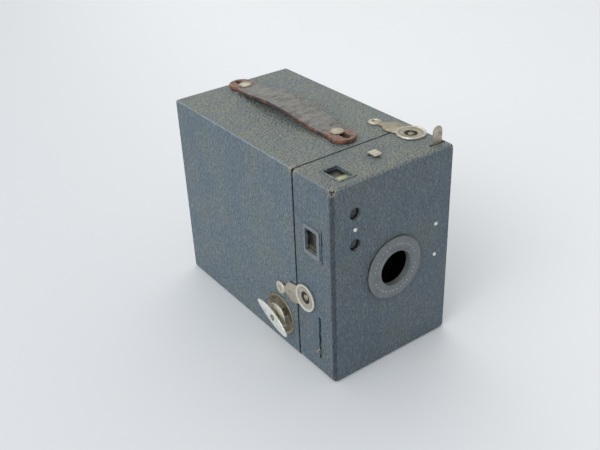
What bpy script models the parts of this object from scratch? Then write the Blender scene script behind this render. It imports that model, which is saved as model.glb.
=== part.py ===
"""A box camera for roll film, as an assembly of its separate pieces.

The camera has two halves. The rear case is a plain covered box with its front end open. The front
section carries the lens, the shutter and the two finders, and the film carrier is fastened behind
it. To load film the winding key is pulled out, the two spring catches are lifted, and the front
section slides forward with its carrier out of the case.

Units are metres. X runs to the right as seen from the front, Y runs from the lens to the back, and
Z is up. The origin is the centre of the base.
"""

import math

import bmesh
import bpy
from mathutils import Matrix, Vector

MM = 0.001

# ---------------------------------------------------------------- body
BODY_WIDTH = 89 * MM
BODY_DEPTH = 165 * MM
BODY_HEIGHT = 129 * MM
FRONT_DEPTH = 35 * MM  # depth of the front section, from the lens face to the seam
WALL = 2 * MM
CORNER_RADIUS = 1.5 * MM
GAP = 0.3 * MM  # between pieces that touch on the real camera
TRIM_GAP = 0.15 * MM  # under thin metal trim that lies on the covering

# ---------------------------------------------------------------- front section
PANEL_THICKNESS = 1.5 * MM
BOARD_BEHIND_SEAM = -9 * MM  # front of the mechanism board, measured from the seam
BOARD_THICKNESS = 1.5 * MM
LIP_THICKNESS = 0.9 * MM
LIP_OVERLAP = 5 * MM  # how far the light lip reaches into the rear case

LENS_RING_RADIUS = 20.2 * MM
LENS_OPENING_RADIUS = 11.25 * MM
LENS_RIM = 1.15 * MM
LENS_RIM_HEIGHT = 2.3 * MM
LENS_PLATE_HEIGHT = 1.1 * MM
LENS_RADIUS = 8 * MM
LENS_THICKNESS = 1.8 * MM
CELL_RADIUS = 11.5 * MM
CELL_LIP = 1 * MM  # how far the cell and the board reach over the lens's edge
CELL_END = 0.7 * MM
LENS_BULGE = 0.9 * MM

# finders: one looks down through the top window, one through the left window
FINDER_FROM_LEFT = 15.9 * MM
TOP_FINDER_DROP = 18.7 * MM
SIDE_FINDER_DROP = 38.3 * MM
FINDER_HOLE_RADIUS = 3.75 * MM
TOP_WINDOW_FROM_FRONT = 14.35 * MM
TOP_WINDOW_SIZE = (9.8 * MM, 14.3 * MM)
SIDE_WINDOW_FROM_FRONT = 18.6 * MM
SIDE_WINDOW_DROP = 38.75 * MM
SIDE_WINDOW_SIZE = (10.8 * MM, 14.5 * MM)
FRAME_BORDER = 2.2 * MM
FRAME_THICKNESS = 0.5 * MM
GLASS_THICKNESS = 1.2 * MM
GLASS_OVERLAP = 1 * MM
MIRROR_THICKNESS = 1.2 * MM
MIRROR_LENGTH = 15 * MM
BRACKET_THICKNESS = 0.8 * MM
RIVET_RADIUS = 1.3 * MM
RIVET_SHANK = 0.7 * MM

# shutter: a disc with one port, worked by a lever whose finger stands out of the left side
DISC_RADIUS = 23.5 * MM
DISC_THICKNESS = 0.8 * MM
DISC_FROM_LENS = (-10.5 * MM, -12 * MM)
DISC_FROM_FRONT = 16.5 * MM
PORT_RADIUS = 6 * MM
DISC_TURN = 140
LEVER_TURN = 40
LEVER_FROM_DISC = (-4 * MM, -26.5 * MM)
LEVER_FROM_FRONT = 13.4 * MM
LEVER_THICKNESS = 1 * MM
LEVER_HALF_WIDTH = 1.5 * MM
FINGER_STANDS_OUT = 3.2 * MM
FINGER_HALF_ANGLE = 6.5
LEVER_SLOT_WIDTH = 1.6 * MM
LEVER_EYE_RADIUS = 3.6 * MM
POST_RADIUS = 1.5 * MM
POST_HEAD_RADIUS = 2.7 * MM
POST_HEAD_HEIGHT = 0.8 * MM
SPRING_WIRE = 0.35 * MM
SPRING_TURNS = 3
SPRING_PITCH = 3.2 * SPRING_WIRE
SPRING_TAIL = 8 * MM

# slides: square tab for the stops, tall tab for time exposures
SLIDE_THICKNESS = 0.8 * MM
STOP_RADII = (5.5 * MM, 4 * MM, 2.8 * MM)
STOP_SPACING = 9 * MM
STOP_SLIDE_HALF_WIDTH = 6.6 * MM
STOP_SLIDE_FROM_FRONT = 20.6 * MM
STOP_TAB_HALF_WIDTH = 2.8 * MM
STOP_TAB_LENGTH = 7 * MM
STOP_TAB_HEIGHT = 1.3 * MM
GUIDE_FOOT = 1.4 * MM
GUIDE_HEIGHT = 6 * MM
TIME_SLIDE_FROM_RIGHT = 7.9 * MM
TIME_SLIDE_FROM_FRONT = 6.6 * MM
TIME_TAB_WIDTH = 7 * MM
TIME_TAB_HEIGHT = 11 * MM
TIME_SLIDE_WIDTH = 5.3 * MM
TIME_SLIDE_DEPTH = 79 * MM
TIME_SLOT_WIDTH = 11.6 * MM
GUIDE_RIVET_FROM_RIGHT = 12.2 * MM
GUIDE_RIVET_DROPS = (47.8 * MM, 69 * MM)

# ---------------------------------------------------------------- film carrier
CARRIER_SIDE_GAP = 2.7 * MM  # from the case's inner wall to the outside of a cheek
CHEEK_THICKNESS = 1 * MM
CHEEK_DEPTH = 44 * MM
CARRIER_END_GAP = 4 * MM  # above and below the cheeks
SPOOL_BEHIND_SEAM = 18.6 * MM
SPOOL_ABOVE_BASE = 20.8 * MM
SPOOL_FLANGE_RADIUS = 12.5 * MM
SPOOL_FLANGE_THICKNESS = 1 * MM
SPOOL_CORE_RADIUS = 5.5 * MM
SPOOL_END_GAP = 1.3 * MM
SPOOL_BORE_DEPTH = 2.7 * MM
PIN_RADIUS = 2.3 * MM
PIN_REACH = 2.2 * MM
PIN_HEAD_RADIUS = 4 * MM
PIN_HEAD_HEIGHT = 0.8 * MM
CHEEK_CORNER_RADIUS = 6 * MM
FRAME_FROM_REAR = 15 * MM
FILM_FRAME_THICKNESS = 4 * MM
GATE_SIDE_BORDER = 7 * MM
GATE_END_BORDER = 1.7 * MM
ROLLER_RADIUS = 1.8 * MM
ROLLER_BORE = 1 * MM
AXLE_RADIUS = 0.7 * MM
ROLLER_ABOVE_FLOOR = 5 * MM
LUG_WIDTH = 1.4 * MM
CONE_WALL = 0.8 * MM
CONE_MOUTH = 26 * MM

# ---------------------------------------------------------------- rear case fittings
WINDOW_RADIUS = 8 * MM
WINDOW_OVERLAP = 1 * MM
WINDOW_RING_WIDTH = 2.5 * MM
WINDOW_RING_DEPTH = 0.6 * MM
WINDOW_ABOVE_BASE = 86 * MM
BUSH_RADIUS = 5 * MM
BUSH_BORE = 3.1 * MM
BUSH_FLANGE = 9 * MM
BUSH_FLANGE_THICKNESS = 0.8 * MM
BUSH_HEIGHT = 2.2 * MM
BUSH_RECESS = 0.2 * MM
BUSH_BEHIND_CENTRE = 7.5 * MM

KEY_DISH_RADIUS = 13.75 * MM
KEY_DISH_BOWL = 12.2 * MM
KEY_DISH_DEPTH = 2.2 * MM
KEY_DISH_SLOPE = 2.6 * MM  # how far in from its rim the bowl reaches its flat floor
KEY_SHEET = 0.6 * MM
KEY_SHAFT_RADIUS = 2.5 * MM
KEY_PULL = 4.2 * MM  # from its working place to where it stands while the camera is opened
KEY_ENGAGES = 1.5 * MM  # how far the pushed-in blade enters the spool
KEY_BLADE_WIDTH = 4.4 * MM
KEY_BLADE_THICKNESS = 1.2 * MM
KEY_SLOT_DEPTH = 2.6 * MM
KEY_SLOT_PLAY = 0.5 * MM
KEY_COLLAR_RADIUS = 8.5 * MM
KEY_COLLAR_LOW = 2.6 * MM
KEY_COLLAR_HIGH = 4.2 * MM
KEY_WING_HALF_WIDTH = 4.7 * MM
KEY_RIVET_RADIUS = 1.3 * MM
KEY_WING_LENGTH = 31.5 * MM
KEY_WING_HEIGHT = 5.8 * MM
KEY_WING_THICKNESS = 1.2 * MM
KEY_WING_TILT = 23  # degrees, the rear end of the wing raised

HANDLE_STUD_BEHIND_SEAM = 16 * MM
HANDLE_STUD_RADIUS = 3.6 * MM
HANDLE_NECK_RADIUS = 1.8 * MM
HANDLE_HEAD_HEIGHT = 1.2 * MM
HANDLE_FOOT_RADIUS = 3 * MM
STRAP_THICKNESS = 2.6 * MM
STRAP_EYE_RADIUS = 8.2 * MM
STRAP_NECK_HALF_WIDTH = 6.8 * MM
STRAP_HALF_WIDTH = 10.3 * MM
STRAP_EYE_OUTSIDE_STUD = 4.8 * MM
STRAP_REST_HEIGHT = 0.5 * MM
STRAP_RISE = 4.4 * MM

LATCH_REACH = 26.4 * MM
LATCH_HINGE = 4.9 * MM  # from the eyelet's centre to the bend
LATCH_SHEET = 0.6 * MM
LATCH_RING_RADIUS = 8.9 * MM
LATCH_HOLE_RADIUS = 4 * MM
LATCH_STUD_RADIUS = 2.9 * MM
EYELET_RADIUS = 4.5 * MM
EYELET_BORE = 1.7 * MM
TOP_LATCH_FROM_RIGHT = 15.4 * MM
TOP_LATCH_TILT = 11.7
SIDE_LATCH_ABOVE_BASE = 42.1 * MM
SIDE_LATCH_TILT = 14.1
LATCH_BEHIND_SEAM = 16.5 * MM

# ---------------------------------------------------------------- worked out from those
HALF_WIDTH = BODY_WIDTH / 2
FRONT_Y = -BODY_DEPTH / 2
REAR_Y = BODY_DEPTH / 2
SEAM_Y = FRONT_Y + FRONT_DEPTH
INNER_HALF_WIDTH = HALF_WIDTH - WALL
INNER_TOP = BODY_HEIGHT - WALL
LENS_Z = BODY_HEIGHT / 2
BOARD_Y = SEAM_Y + BOARD_BEHIND_SEAM
BOARD_BACK_Y = BOARD_Y + BOARD_THICKNESS
PANEL_BACK_Y = FRONT_Y + PANEL_THICKNESS
CHEEK_OUTSIDE = INNER_HALF_WIDTH - CARRIER_SIDE_GAP
CHEEK_INSIDE = CHEEK_OUTSIDE - CHEEK_THICKNESS
CARRIER_LOW = WALL + CARRIER_END_GAP
CARRIER_HIGH = INNER_TOP - CARRIER_END_GAP
SPOOL_Y = SEAM_Y + SPOOL_BEHIND_SEAM
SPOOL_HALF_LENGTH = CHEEK_INSIDE - SPOOL_END_GAP
SUPPLY_Z = BODY_HEIGHT - SPOOL_ABOVE_BASE
FILM_Y = REAR_Y - FRAME_FROM_REAR  # back face of the film frame
DISC_CENTRE = Vector((DISC_FROM_LENS[0], FRONT_Y + DISC_FROM_FRONT, LENS_Z + DISC_FROM_LENS[1]))
LEVER_PIVOT = Vector((DISC_CENTRE.x + LEVER_FROM_DISC[0], FRONT_Y + LEVER_FROM_FRONT,
                      DISC_CENTRE.z + LEVER_FROM_DISC[1]))
ROLLER_LOW = WALL + ROLLER_ABOVE_FLOOR
ROLLER_HIGH = INNER_TOP - ROLLER_ABOVE_FLOOR
ROLLER_Y = FILM_Y - FILM_FRAME_THICKNESS / 2
STRAP_Z = BODY_HEIGHT + STRAP_REST_HEIGHT

LEFT, FRONT, UP = Vector((-1, 0, 0)), Vector((0, -1, 0)), Vector((0, 0, 1))
RIGHT, REAR, DOWN = -LEFT, -FRONT, -UP


def clear_scene():
    for old in list(bpy.data.objects):
        bpy.data.objects.remove(old, do_unlink=True)


def new_collection(name):
    collection = bpy.data.collections.new(name)
    bpy.context.scene.collection.children.link(collection)
    return collection


def new_material(name, colour, roughness, metallic=0.0, alpha=1.0):
    material = bpy.data.materials.new(name)
    material.use_nodes = True
    shader = material.node_tree.nodes["Principled BSDF"]
    shader.inputs["Base Color"].default_value = (*colour, 1)
    shader.inputs["Roughness"].default_value = roughness
    shader.inputs["Metallic"].default_value = metallic
    shader.inputs["Alpha"].default_value = alpha
    material.diffuse_color = (*colour, alpha)
    return material


clear_scene()
CAMERA = new_collection("box_camera")
CUTTERS = new_collection("cutters")
LEATHERETTE = new_material("leatherette", (0.045, 0.06, 0.08), 0.6)
BLACK_CARD = new_material("black_card", (0.01, 0.01, 0.011), 0.85)
NICKEL = new_material("nickel", (0.55, 0.52, 0.45), 0.38, 1.0)
STEEL = new_material("steel", (0.42, 0.42, 0.42), 0.4, 1.0)
BLACK_STEEL = new_material("black_steel", (0.02, 0.02, 0.022), 0.5, 0.4)
GREY_PAINT = new_material("grey_paint", (0.16, 0.17, 0.18), 0.55, 0.3)
LEATHER = new_material("leather", (0.09, 0.035, 0.025), 0.5)
GLASS = new_material("glass", (0.75, 0.8, 0.6), 0.15, 0.0, 0.5)
RED_FILM = new_material("red_film", (0.4, 0.02, 0.015), 0.2, 0.0, 0.6)
MIRROR = new_material("mirror", (0.8, 0.82, 0.82), 0.05, 1.0)
WOOD = new_material("wood", (0.3, 0.17, 0.07), 0.6)


# ---------------------------------------------------------------- shapes

def add_object(name, bm, material, matrix):
    """Puts a bmesh in the camera's collection. The matrix places it."""
    mesh = bpy.data.meshes.new(name)
    bm.to_mesh(mesh)
    bm.free()
    piece = bpy.data.objects.new(name, mesh)
    piece.matrix_world = matrix
    CAMERA.objects.link(piece)
    if material:
        mesh.materials.append(material)
        mesh.shade_smooth()
        mesh.set_sharp_from_angle(angle=math.radians(35))
    return piece


def facing(direction, place):
    """A matrix that turns local Z to the direction and moves the origin to the place."""
    turn = Vector(direction).to_track_quat("Z", "Y").to_matrix().to_4x4()
    return Matrix.Translation(place) @ turn


def box(name, material, low, high, radius=0.0, sharp=None):
    """A box between two corners. Its edges are rounded, but not those on the sharp plane(s)."""
    low, high = Vector(low), Vector(high)
    centre, size = (low + high) / 2, high - low
    bm = bmesh.new()
    bmesh.ops.create_cube(bm, size=1)
    bmesh.ops.scale(bm, vec=size, verts=bm.verts)
    if radius:
        edges = [edge for edge in bm.edges if not (sharp and sharp(edge, centre))]
        bmesh.ops.bevel(bm, geom=edges, offset=radius, segments=3, profile=0.5, affect="EDGES",
                        material=-1)
    return add_object(name, bm, material, Matrix.Translation(centre))


def on_plane_y(*planes):
    """Says whether both ends of an edge lie on one of these planes across Y."""
    def test(edge, centre):
        ends = [vert.co.y + centre.y for vert in edge.verts]
        return any(all(abs(end - plane) < 1e-6 for end in ends) for plane in planes)
    return test


def cylinder(name, material, place, direction, length, radius, segments=24):
    """A rod that starts at the place and runs along the direction."""
    bm = bmesh.new()
    bmesh.ops.create_cone(bm, cap_ends=True, segments=segments, radius1=radius, radius2=radius,
                          depth=length)
    bmesh.ops.translate(bm, vec=(0, 0, length / 2), verts=bm.verts)
    return add_object(name, bm, material, facing(direction, place))


def turned(name, material, profile, place, direction, steps=32):
    """A solid of revolution. The profile holds (radius, height) points, and height runs along the
    direction. A profile that starts and ends on the axis is solid, and any other is a ring."""
    profile = [(r, h) for r, h in profile]
    area = sum(a[0] * b[1] - b[0] * a[1] for a, b in zip(profile, profile[1:] + profile[:1]))
    if area > 0:
        profile.reverse()
    solid = profile[0][0] == 0 and profile[-1][0] == 0
    bm = bmesh.new()
    points = [bm.verts.new((r, 0, h)) for r, h in profile]
    for a, b in zip(points, points[1:] + ([] if solid else points[:1])):
        bm.edges.new((a, b))
    piece = add_object(name, bm, material, facing(direction, place))
    screw = piece.modifiers.new("turn", "SCREW")
    screw.steps = screw.render_steps = steps
    screw.use_merge_vertices = True
    screw.merge_threshold = 0.000005
    screw.use_smooth_shade = False
    return piece


PLANES = {
    "XY": Matrix(((1, 0, 0), (0, 1, 0), (0, 0, 1))),
    "XZ": Matrix(((1, 0, 0), (0, 0, -1), (0, 1, 0))),
    "YZ": Matrix(((0, 0, 1), (1, 0, 0), (0, 1, 0))),
}


def plate(name, material, loops, thickness, place, plane="XY", turn=None):
    """A flat outline with a thickness, centred on its plane. Inner loops are holes."""
    curve = bpy.data.curves.new(name, "CURVE")
    curve.dimensions = "2D"
    curve.fill_mode = "BOTH"
    curve.extrude = thickness / 2
    for loop in loops:
        spline = curve.splines.new("POLY")
        spline.points.add(len(loop) - 1)
        for point, (u, v) in zip(spline.points, loop):
            point.co = (u, v, 0, 1)
        spline.use_cyclic_u = True
    outline = bpy.data.objects.new(name + "_outline", curve)
    orientation = turn if turn is not None else PLANES[plane]
    outline.matrix_world = Matrix.Translation(place) @ orientation.to_4x4()
    CAMERA.objects.link(outline)
    graph = bpy.context.evaluated_depsgraph_get()
    mesh = bpy.data.meshes.new_from_object(outline.evaluated_get(graph))
    bm = bmesh.new()
    bm.from_mesh(mesh)
    bmesh.ops.remove_doubles(bm, verts=bm.verts, dist=1e-6)
    matrix = outline.matrix_world.copy()
    bpy.data.objects.remove(outline, do_unlink=True)
    bpy.data.meshes.remove(mesh)
    return add_object(name, bm, material, matrix)


def arc(centre, radius, start, end, steps):
    """Points on an arc, both ends included. Angles are in degrees."""
    angles = [math.radians(start + (end - start) * i / steps) for i in range(steps + 1)]
    return [(centre[0] + radius * math.cos(a), centre[1] + radius * math.sin(a)) for a in angles]


def circle(centre, radius, steps=24):
    return arc(centre, radius, 0, 360, steps)[:-1]


def rectangle(low, high):
    return [(low[0], low[1]), (high[0], low[1]), (high[0], high[1]), (low[0], high[1])]


def rounded_rectangle(low, high, radius, steps=5):
    (u0, v0), (u1, v1) = low, high
    corners = (((u1 - radius, v1 - radius), 0), ((u0 + radius, v1 - radius), 90),
               ((u0 + radius, v0 + radius), 180), ((u1 - radius, v0 + radius), 270))
    return [point for centre, start in corners for point in arc(centre, radius, start, start + 90, steps)]


# ---------------------------------------------------------------- cuts and joints

def combine(target, tool, operation="DIFFERENCE"):
    """Cuts the tool out of the target, or joins or intersects them, and hides the tool."""
    modifier = target.modifiers.new(operation.lower(), "BOOLEAN")
    modifier.operation = operation
    modifier.object = tool
    modifier.solver = "EXACT"
    tool.hide_render = True
    tool.display_type = "WIRE"
    CAMERA.objects.unlink(tool)
    CUTTERS.objects.link(tool)
    return target


def cut_box(target, name, low, high):
    combine(target, box(f"cut_{name}", None, low, high))


def drill(target, name, place, direction, radius, length, segments=24):
    """A round hole whose middle is at the place."""
    start = Vector(place) - Vector(direction) * length / 2
    combine(target, cylinder(f"cut_{name}", None, start, direction, length, radius, segments))


def joint(name, place):
    """An empty on a joint's axis."""
    empty = bpy.data.objects.new(name, None)
    empty.location = place
    empty.empty_display_size = 5 * MM
    CAMERA.objects.link(empty)
    return empty


def hang(empty, *pieces, parent=None):
    """Makes the pieces children of the empty, where they are."""
    for piece in pieces:
        piece.parent = empty
        piece.matrix_parent_inverse = Matrix.Translation(empty.location).inverted()
    if parent:
        empty.parent = parent
        empty.matrix_parent_inverse = Matrix.Translation(parent.location).inverted()


# ---------------------------------------------------------------- rear case

def latch_frame(latch):
    """Where a catch starts, which way it points, and its outward side, as (place, along, out)."""
    y = SEAM_Y + LATCH_BEHIND_SEAM
    if latch == "top":
        tilt = math.radians(TOP_LATCH_TILT)
        place = Vector((HALF_WIDTH - TOP_LATCH_FROM_RIGHT, y, BODY_HEIGHT))
        return place, Vector((math.sin(tilt), -math.cos(tilt), 0)), UP
    tilt = math.radians(SIDE_LATCH_TILT)
    place = Vector((-HALF_WIDTH, y, SIDE_LATCH_ABOVE_BASE))
    return place, Vector((0, -math.cos(tilt), math.sin(tilt))), LEFT


KEY_CENTRE = Vector((-HALF_WIDTH, SPOOL_Y, SPOOL_ABOVE_BASE))
STUD_PLACES = {
    "front": Vector((0, SEAM_Y + HANDLE_STUD_BEHIND_SEAM, BODY_HEIGHT)),
    "rear": Vector((0, REAR_Y - HANDLE_STUD_BEHIND_SEAM, BODY_HEIGHT)),
}
TRIPOD_PLACES = {
    "base": (Vector((0, BUSH_BEHIND_CENTRE, 0)), DOWN),
    "side": (Vector((HALF_WIDTH, BUSH_BEHIND_CENTRE, BODY_HEIGHT / 2)), RIGHT),
}


def make_rear_case():
    case = box("rear_case", LEATHERETTE, (-HALF_WIDTH, SEAM_Y, 0), (HALF_WIDTH, REAR_Y, BODY_HEIGHT),
               CORNER_RADIUS, on_plane_y(SEAM_Y))
    cut_box(case, "case_inside", (-INNER_HALF_WIDTH, SEAM_Y - WALL, WALL),
            (INNER_HALF_WIDTH, REAR_Y - WALL, INNER_TOP))
    drill(case, "window", (0, REAR_Y, WINDOW_ABOVE_BASE), REAR, WINDOW_RADIUS, 4 * WALL)
    drill(case, "key_dish_seat", KEY_CENTRE, LEFT, KEY_DISH_BOWL + 2 * GAP, 4 * WALL, 28)
    for end, place in STUD_PLACES.items():
        drill(case, f"stud_{end}", place, UP, HANDLE_NECK_RADIUS + GAP, 4 * WALL, 16)
    for latch in ("top", "side"):
        place, _, out = latch_frame(latch)
        drill(case, f"eyelet_{latch}", place, out, EYELET_BORE + LATCH_SHEET + GAP, 4 * WALL, 16)
    for side, (place, out) in TRIPOD_PLACES.items():
        drill(case, f"tripod_{side}", place, out, BUSH_RADIUS + GAP, 4 * WALL)


def make_red_window():
    """The round red window in the back, and the ring that holds it from inside."""
    inside = Vector((0, REAR_Y - WALL - GAP, WINDOW_ABOVE_BASE))
    cylinder("red_window", RED_FILM, inside, FRONT, GLASS_THICKNESS, WINDOW_RADIUS + WINDOW_OVERLAP)
    start = GLASS_THICKNESS + GAP
    end = start + WINDOW_RING_DEPTH
    inner, outer = WINDOW_RADIUS - WINDOW_OVERLAP, WINDOW_RADIUS + WINDOW_RING_WIDTH
    turned("window_ring", BLACK_STEEL,
           [(inner, start), (outer, start), (outer, end), (inner, end)], inside, FRONT, 24)


def make_handle_studs():
    inner_head, head_base = -WALL - 3 * GAP, STRAP_REST_HEIGHT + STRAP_THICKNESS + GAP
    for end, place in STUD_PLACES.items():
        turned(f"handle_stud_{end}", NICKEL,
               [(0, head_base + HANDLE_HEAD_HEIGHT),
                (0.6 * HANDLE_STUD_RADIUS, head_base + 0.88 * HANDLE_HEAD_HEIGHT),
                (HANDLE_STUD_RADIUS, head_base + 0.42 * HANDLE_HEAD_HEIGHT), (HANDLE_STUD_RADIUS, head_base),
                (HANDLE_NECK_RADIUS, head_base), (HANDLE_NECK_RADIUS, -WALL - GAP),
                (HANDLE_FOOT_RADIUS, -WALL - GAP), (HANDLE_FOOT_RADIUS, inner_head), (0, inner_head)],
               place, UP, 16)


def make_tripod_bushes():
    """Threaded sockets for a tripod, one for each way of standing the camera."""
    flange, inside = -WALL - GAP, -WALL - BUSH_HEIGHT
    for side, (place, out) in TRIPOD_PLACES.items():
        turned(f"tripod_bush_{side}", NICKEL,
               [(BUSH_BORE, -BUSH_RECESS), (BUSH_RADIUS, -BUSH_RECESS), (BUSH_RADIUS, flange),
                (BUSH_FLANGE, flange), (BUSH_FLANGE, flange - BUSH_FLANGE_THICKNESS),
                (BUSH_RADIUS, flange - BUSH_FLANGE_THICKNESS), (BUSH_RADIUS, inside), (BUSH_BORE, inside)],
               place, out, 20)


# ---------------------------------------------------------------- winding key

def make_key():
    """Dish and bush stay on the case. The collar slides with the key, and the shaft also turns."""
    dish_hole = KEY_SHAFT_RADIUS + 1.5 * MM
    low = -KEY_DISH_DEPTH
    floor = KEY_DISH_BOWL - KEY_DISH_SLOPE
    turned("key_dish", NICKEL,
           [(KEY_DISH_RADIUS, TRIM_GAP), (KEY_DISH_RADIUS, TRIM_GAP + KEY_SHEET),
            (KEY_DISH_BOWL, TRIM_GAP + KEY_SHEET), (floor, low), (dish_hole, low),
            (dish_hole, low - KEY_SHEET), (floor + 0.2 * MM, low - KEY_SHEET),
            (KEY_DISH_BOWL + 0.2 * MM, TRIM_GAP)],
           KEY_CENTRE, LEFT, 28)
    bore, sleeve = KEY_SHAFT_RADIUS + GAP, dish_hole - GAP
    flange_top = low - KEY_SHEET - TRIM_GAP
    flange_low = flange_top - KEY_SHEET
    turned("key_bush", STEEL,
           [(bore, low), (sleeve, low), (sleeve, flange_top), (5 * MM, flange_top),
            (5 * MM, flange_low), (bore, flange_low)], KEY_CENTRE, LEFT, 24)

    collar = turned("key_collar", NICKEL,
                    [(bore, KEY_COLLAR_LOW), (KEY_COLLAR_RADIUS - 1 * MM, KEY_COLLAR_LOW - 0.2 * MM),
                     (KEY_COLLAR_RADIUS, KEY_COLLAR_LOW), (KEY_COLLAR_RADIUS, KEY_COLLAR_LOW + KEY_SHEET),
                     (KEY_COLLAR_RADIUS - 2.5 * MM, KEY_COLLAR_HIGH), (bore, KEY_COLLAR_HIGH)],
                    KEY_CENTRE, LEFT, 24)
    wing_top = KEY_WING_HEIGHT + KEY_WING_THICKNESS
    shoulder = KEY_WING_HEIGHT - GAP
    round_end = -WALL
    shaft = turned("key_shaft", STEEL,
                   [(0, wing_top + 0.4 * MM), (KEY_RIVET_RADIUS, wing_top + GAP),
                    (KEY_RIVET_RADIUS, shoulder),
                    (KEY_SHAFT_RADIUS, shoulder), (KEY_SHAFT_RADIUS, round_end), (0, round_end)],
                   KEY_CENTRE, LEFT, 16)
    # The key is modelled pulled out, with its blade short of the cheek and out of the spool.
    blade_end = -SPOOL_HALF_LENGTH + KEY_ENGAGES - KEY_PULL
    blade_start = -HALF_WIDTH - round_end - 0.2 * MM
    tilt = Matrix.Rotation(math.radians(KEY_WING_TILT), 4, "X")
    half_width, half_thickness = KEY_BLADE_WIDTH / 2, KEY_BLADE_THICKNESS / 2
    blade = box("key_blade", None, (blade_start, -half_width, -half_thickness),
                (blade_end, half_width, half_thickness))
    axis = Vector((0, KEY_CENTRE.y, KEY_CENTRE.z))
    blade.matrix_world = Matrix.Translation(axis) @ tilt @ blade.matrix_world
    combine(shaft, blade, "UNION")

    outline = [(u * KEY_WING_LENGTH / 2, v * KEY_WING_HALF_WIDTH) for u, v in circle((0, 0), 1, 40)]
    tilted = PLANES["YZ"] @ Matrix.Rotation(math.radians(KEY_WING_TILT), 3, "Z")
    place = KEY_CENTRE + LEFT * (KEY_WING_HEIGHT + KEY_WING_THICKNESS / 2)
    wing = plate("key_wing", NICKEL, [outline, circle((0, 0), KEY_RIVET_RADIUS + GAP, 16)],
                 KEY_WING_THICKNESS, place, turn=tilted)

    slide_joint = joint("key_pull", KEY_CENTRE)
    turn_joint = joint("key_turn", KEY_CENTRE)
    hang(slide_joint, collar)
    hang(turn_joint, shaft, wing, parent=slide_joint)


# ---------------------------------------------------------------- spring catches

def make_latch(latch):
    """Eyelet on the case, plate with a dished ring, and the stud on the front section."""
    place, along, out = latch_frame(latch)
    across = out.cross(along)
    top = TRIM_GAP + 2 * LATCH_SHEET
    turned(f"latch_eyelet_{latch}", NICKEL,
           [(EYELET_BORE, top - 0.3 * MM), (EYELET_BORE + 0.5 * MM, top), (EYELET_RADIUS - 1 * MM, top),
            (EYELET_RADIUS, TRIM_GAP + LATCH_SHEET), (EYELET_RADIUS, TRIM_GAP),
            (EYELET_BORE + LATCH_SHEET, TRIM_GAP), (EYELET_BORE + LATCH_SHEET, -WALL - GAP),
            (EYELET_BORE, -WALL - GAP)], place, out, 16)

    low = TRIM_GAP + 0.15 * MM  # underside of the plate
    turn = Matrix((along, across, out)).transposed()
    if turn.determinant() < 0:
        across = -across
        turn = Matrix((along, across, out)).transposed()
    half_side = [(LATCH_HINGE, 2.1 * MM), (LATCH_HINGE + 2 * MM, 2.8 * MM), (10.5 * MM, 6 * MM),
                 (13 * MM, 6.7 * MM), (16 * MM, 6.2 * MM), (18.6 * MM, 5.6 * MM)]
    neck = math.degrees(math.atan2(half_side[-1][1], half_side[-1][0] - LATCH_REACH))
    rim = arc((LATCH_REACH, 0), LATCH_RING_RADIUS - 0.2 * MM, neck, -neck, 24)
    outline = half_side + rim + [(u, -v) for u, v in reversed(half_side)]
    arm = plate(f"latch_plate_{latch}", NICKEL,
                [outline, circle((LATCH_REACH, 0), LATCH_HOLE_RADIUS, 16)], LATCH_SHEET,
                place + out * (low + LATCH_SHEET / 2), turn=turn)
    ring_place = place + along * LATCH_REACH
    outer = LATCH_RING_RADIUS
    ring = turned(f"latch_rim_{latch}", None,
                  [(6 * MM, low + 0.1 * MM), (outer, low + 0.1 * MM), (outer, low + 0.7 * MM),
                   (outer - 0.8 * MM, low + 1.2 * MM), (outer - 1.9 * MM, low + 1.2 * MM),
                   (6 * MM, low + 0.7 * MM)], ring_place, out, 24)
    combine(arm, ring, "UNION")

    stud = LATCH_STUD_RADIUS
    turned(f"latch_stud_{latch}", NICKEL,
           [(0, low + 0.65 * MM), (0.4 * stud, low + 0.5 * MM), (stud, low + 0.15 * MM),
            (stud, TRIM_GAP), (POST_RADIUS, TRIM_GAP), (POST_RADIUS, -WALL), (0, -WALL)],
           ring_place, out, 16)
    hang(joint(f"latch_{latch}_lift", place + along * LATCH_HINGE + out * (low + LATCH_SHEET)), arm)


# ---------------------------------------------------------------- handle

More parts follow.
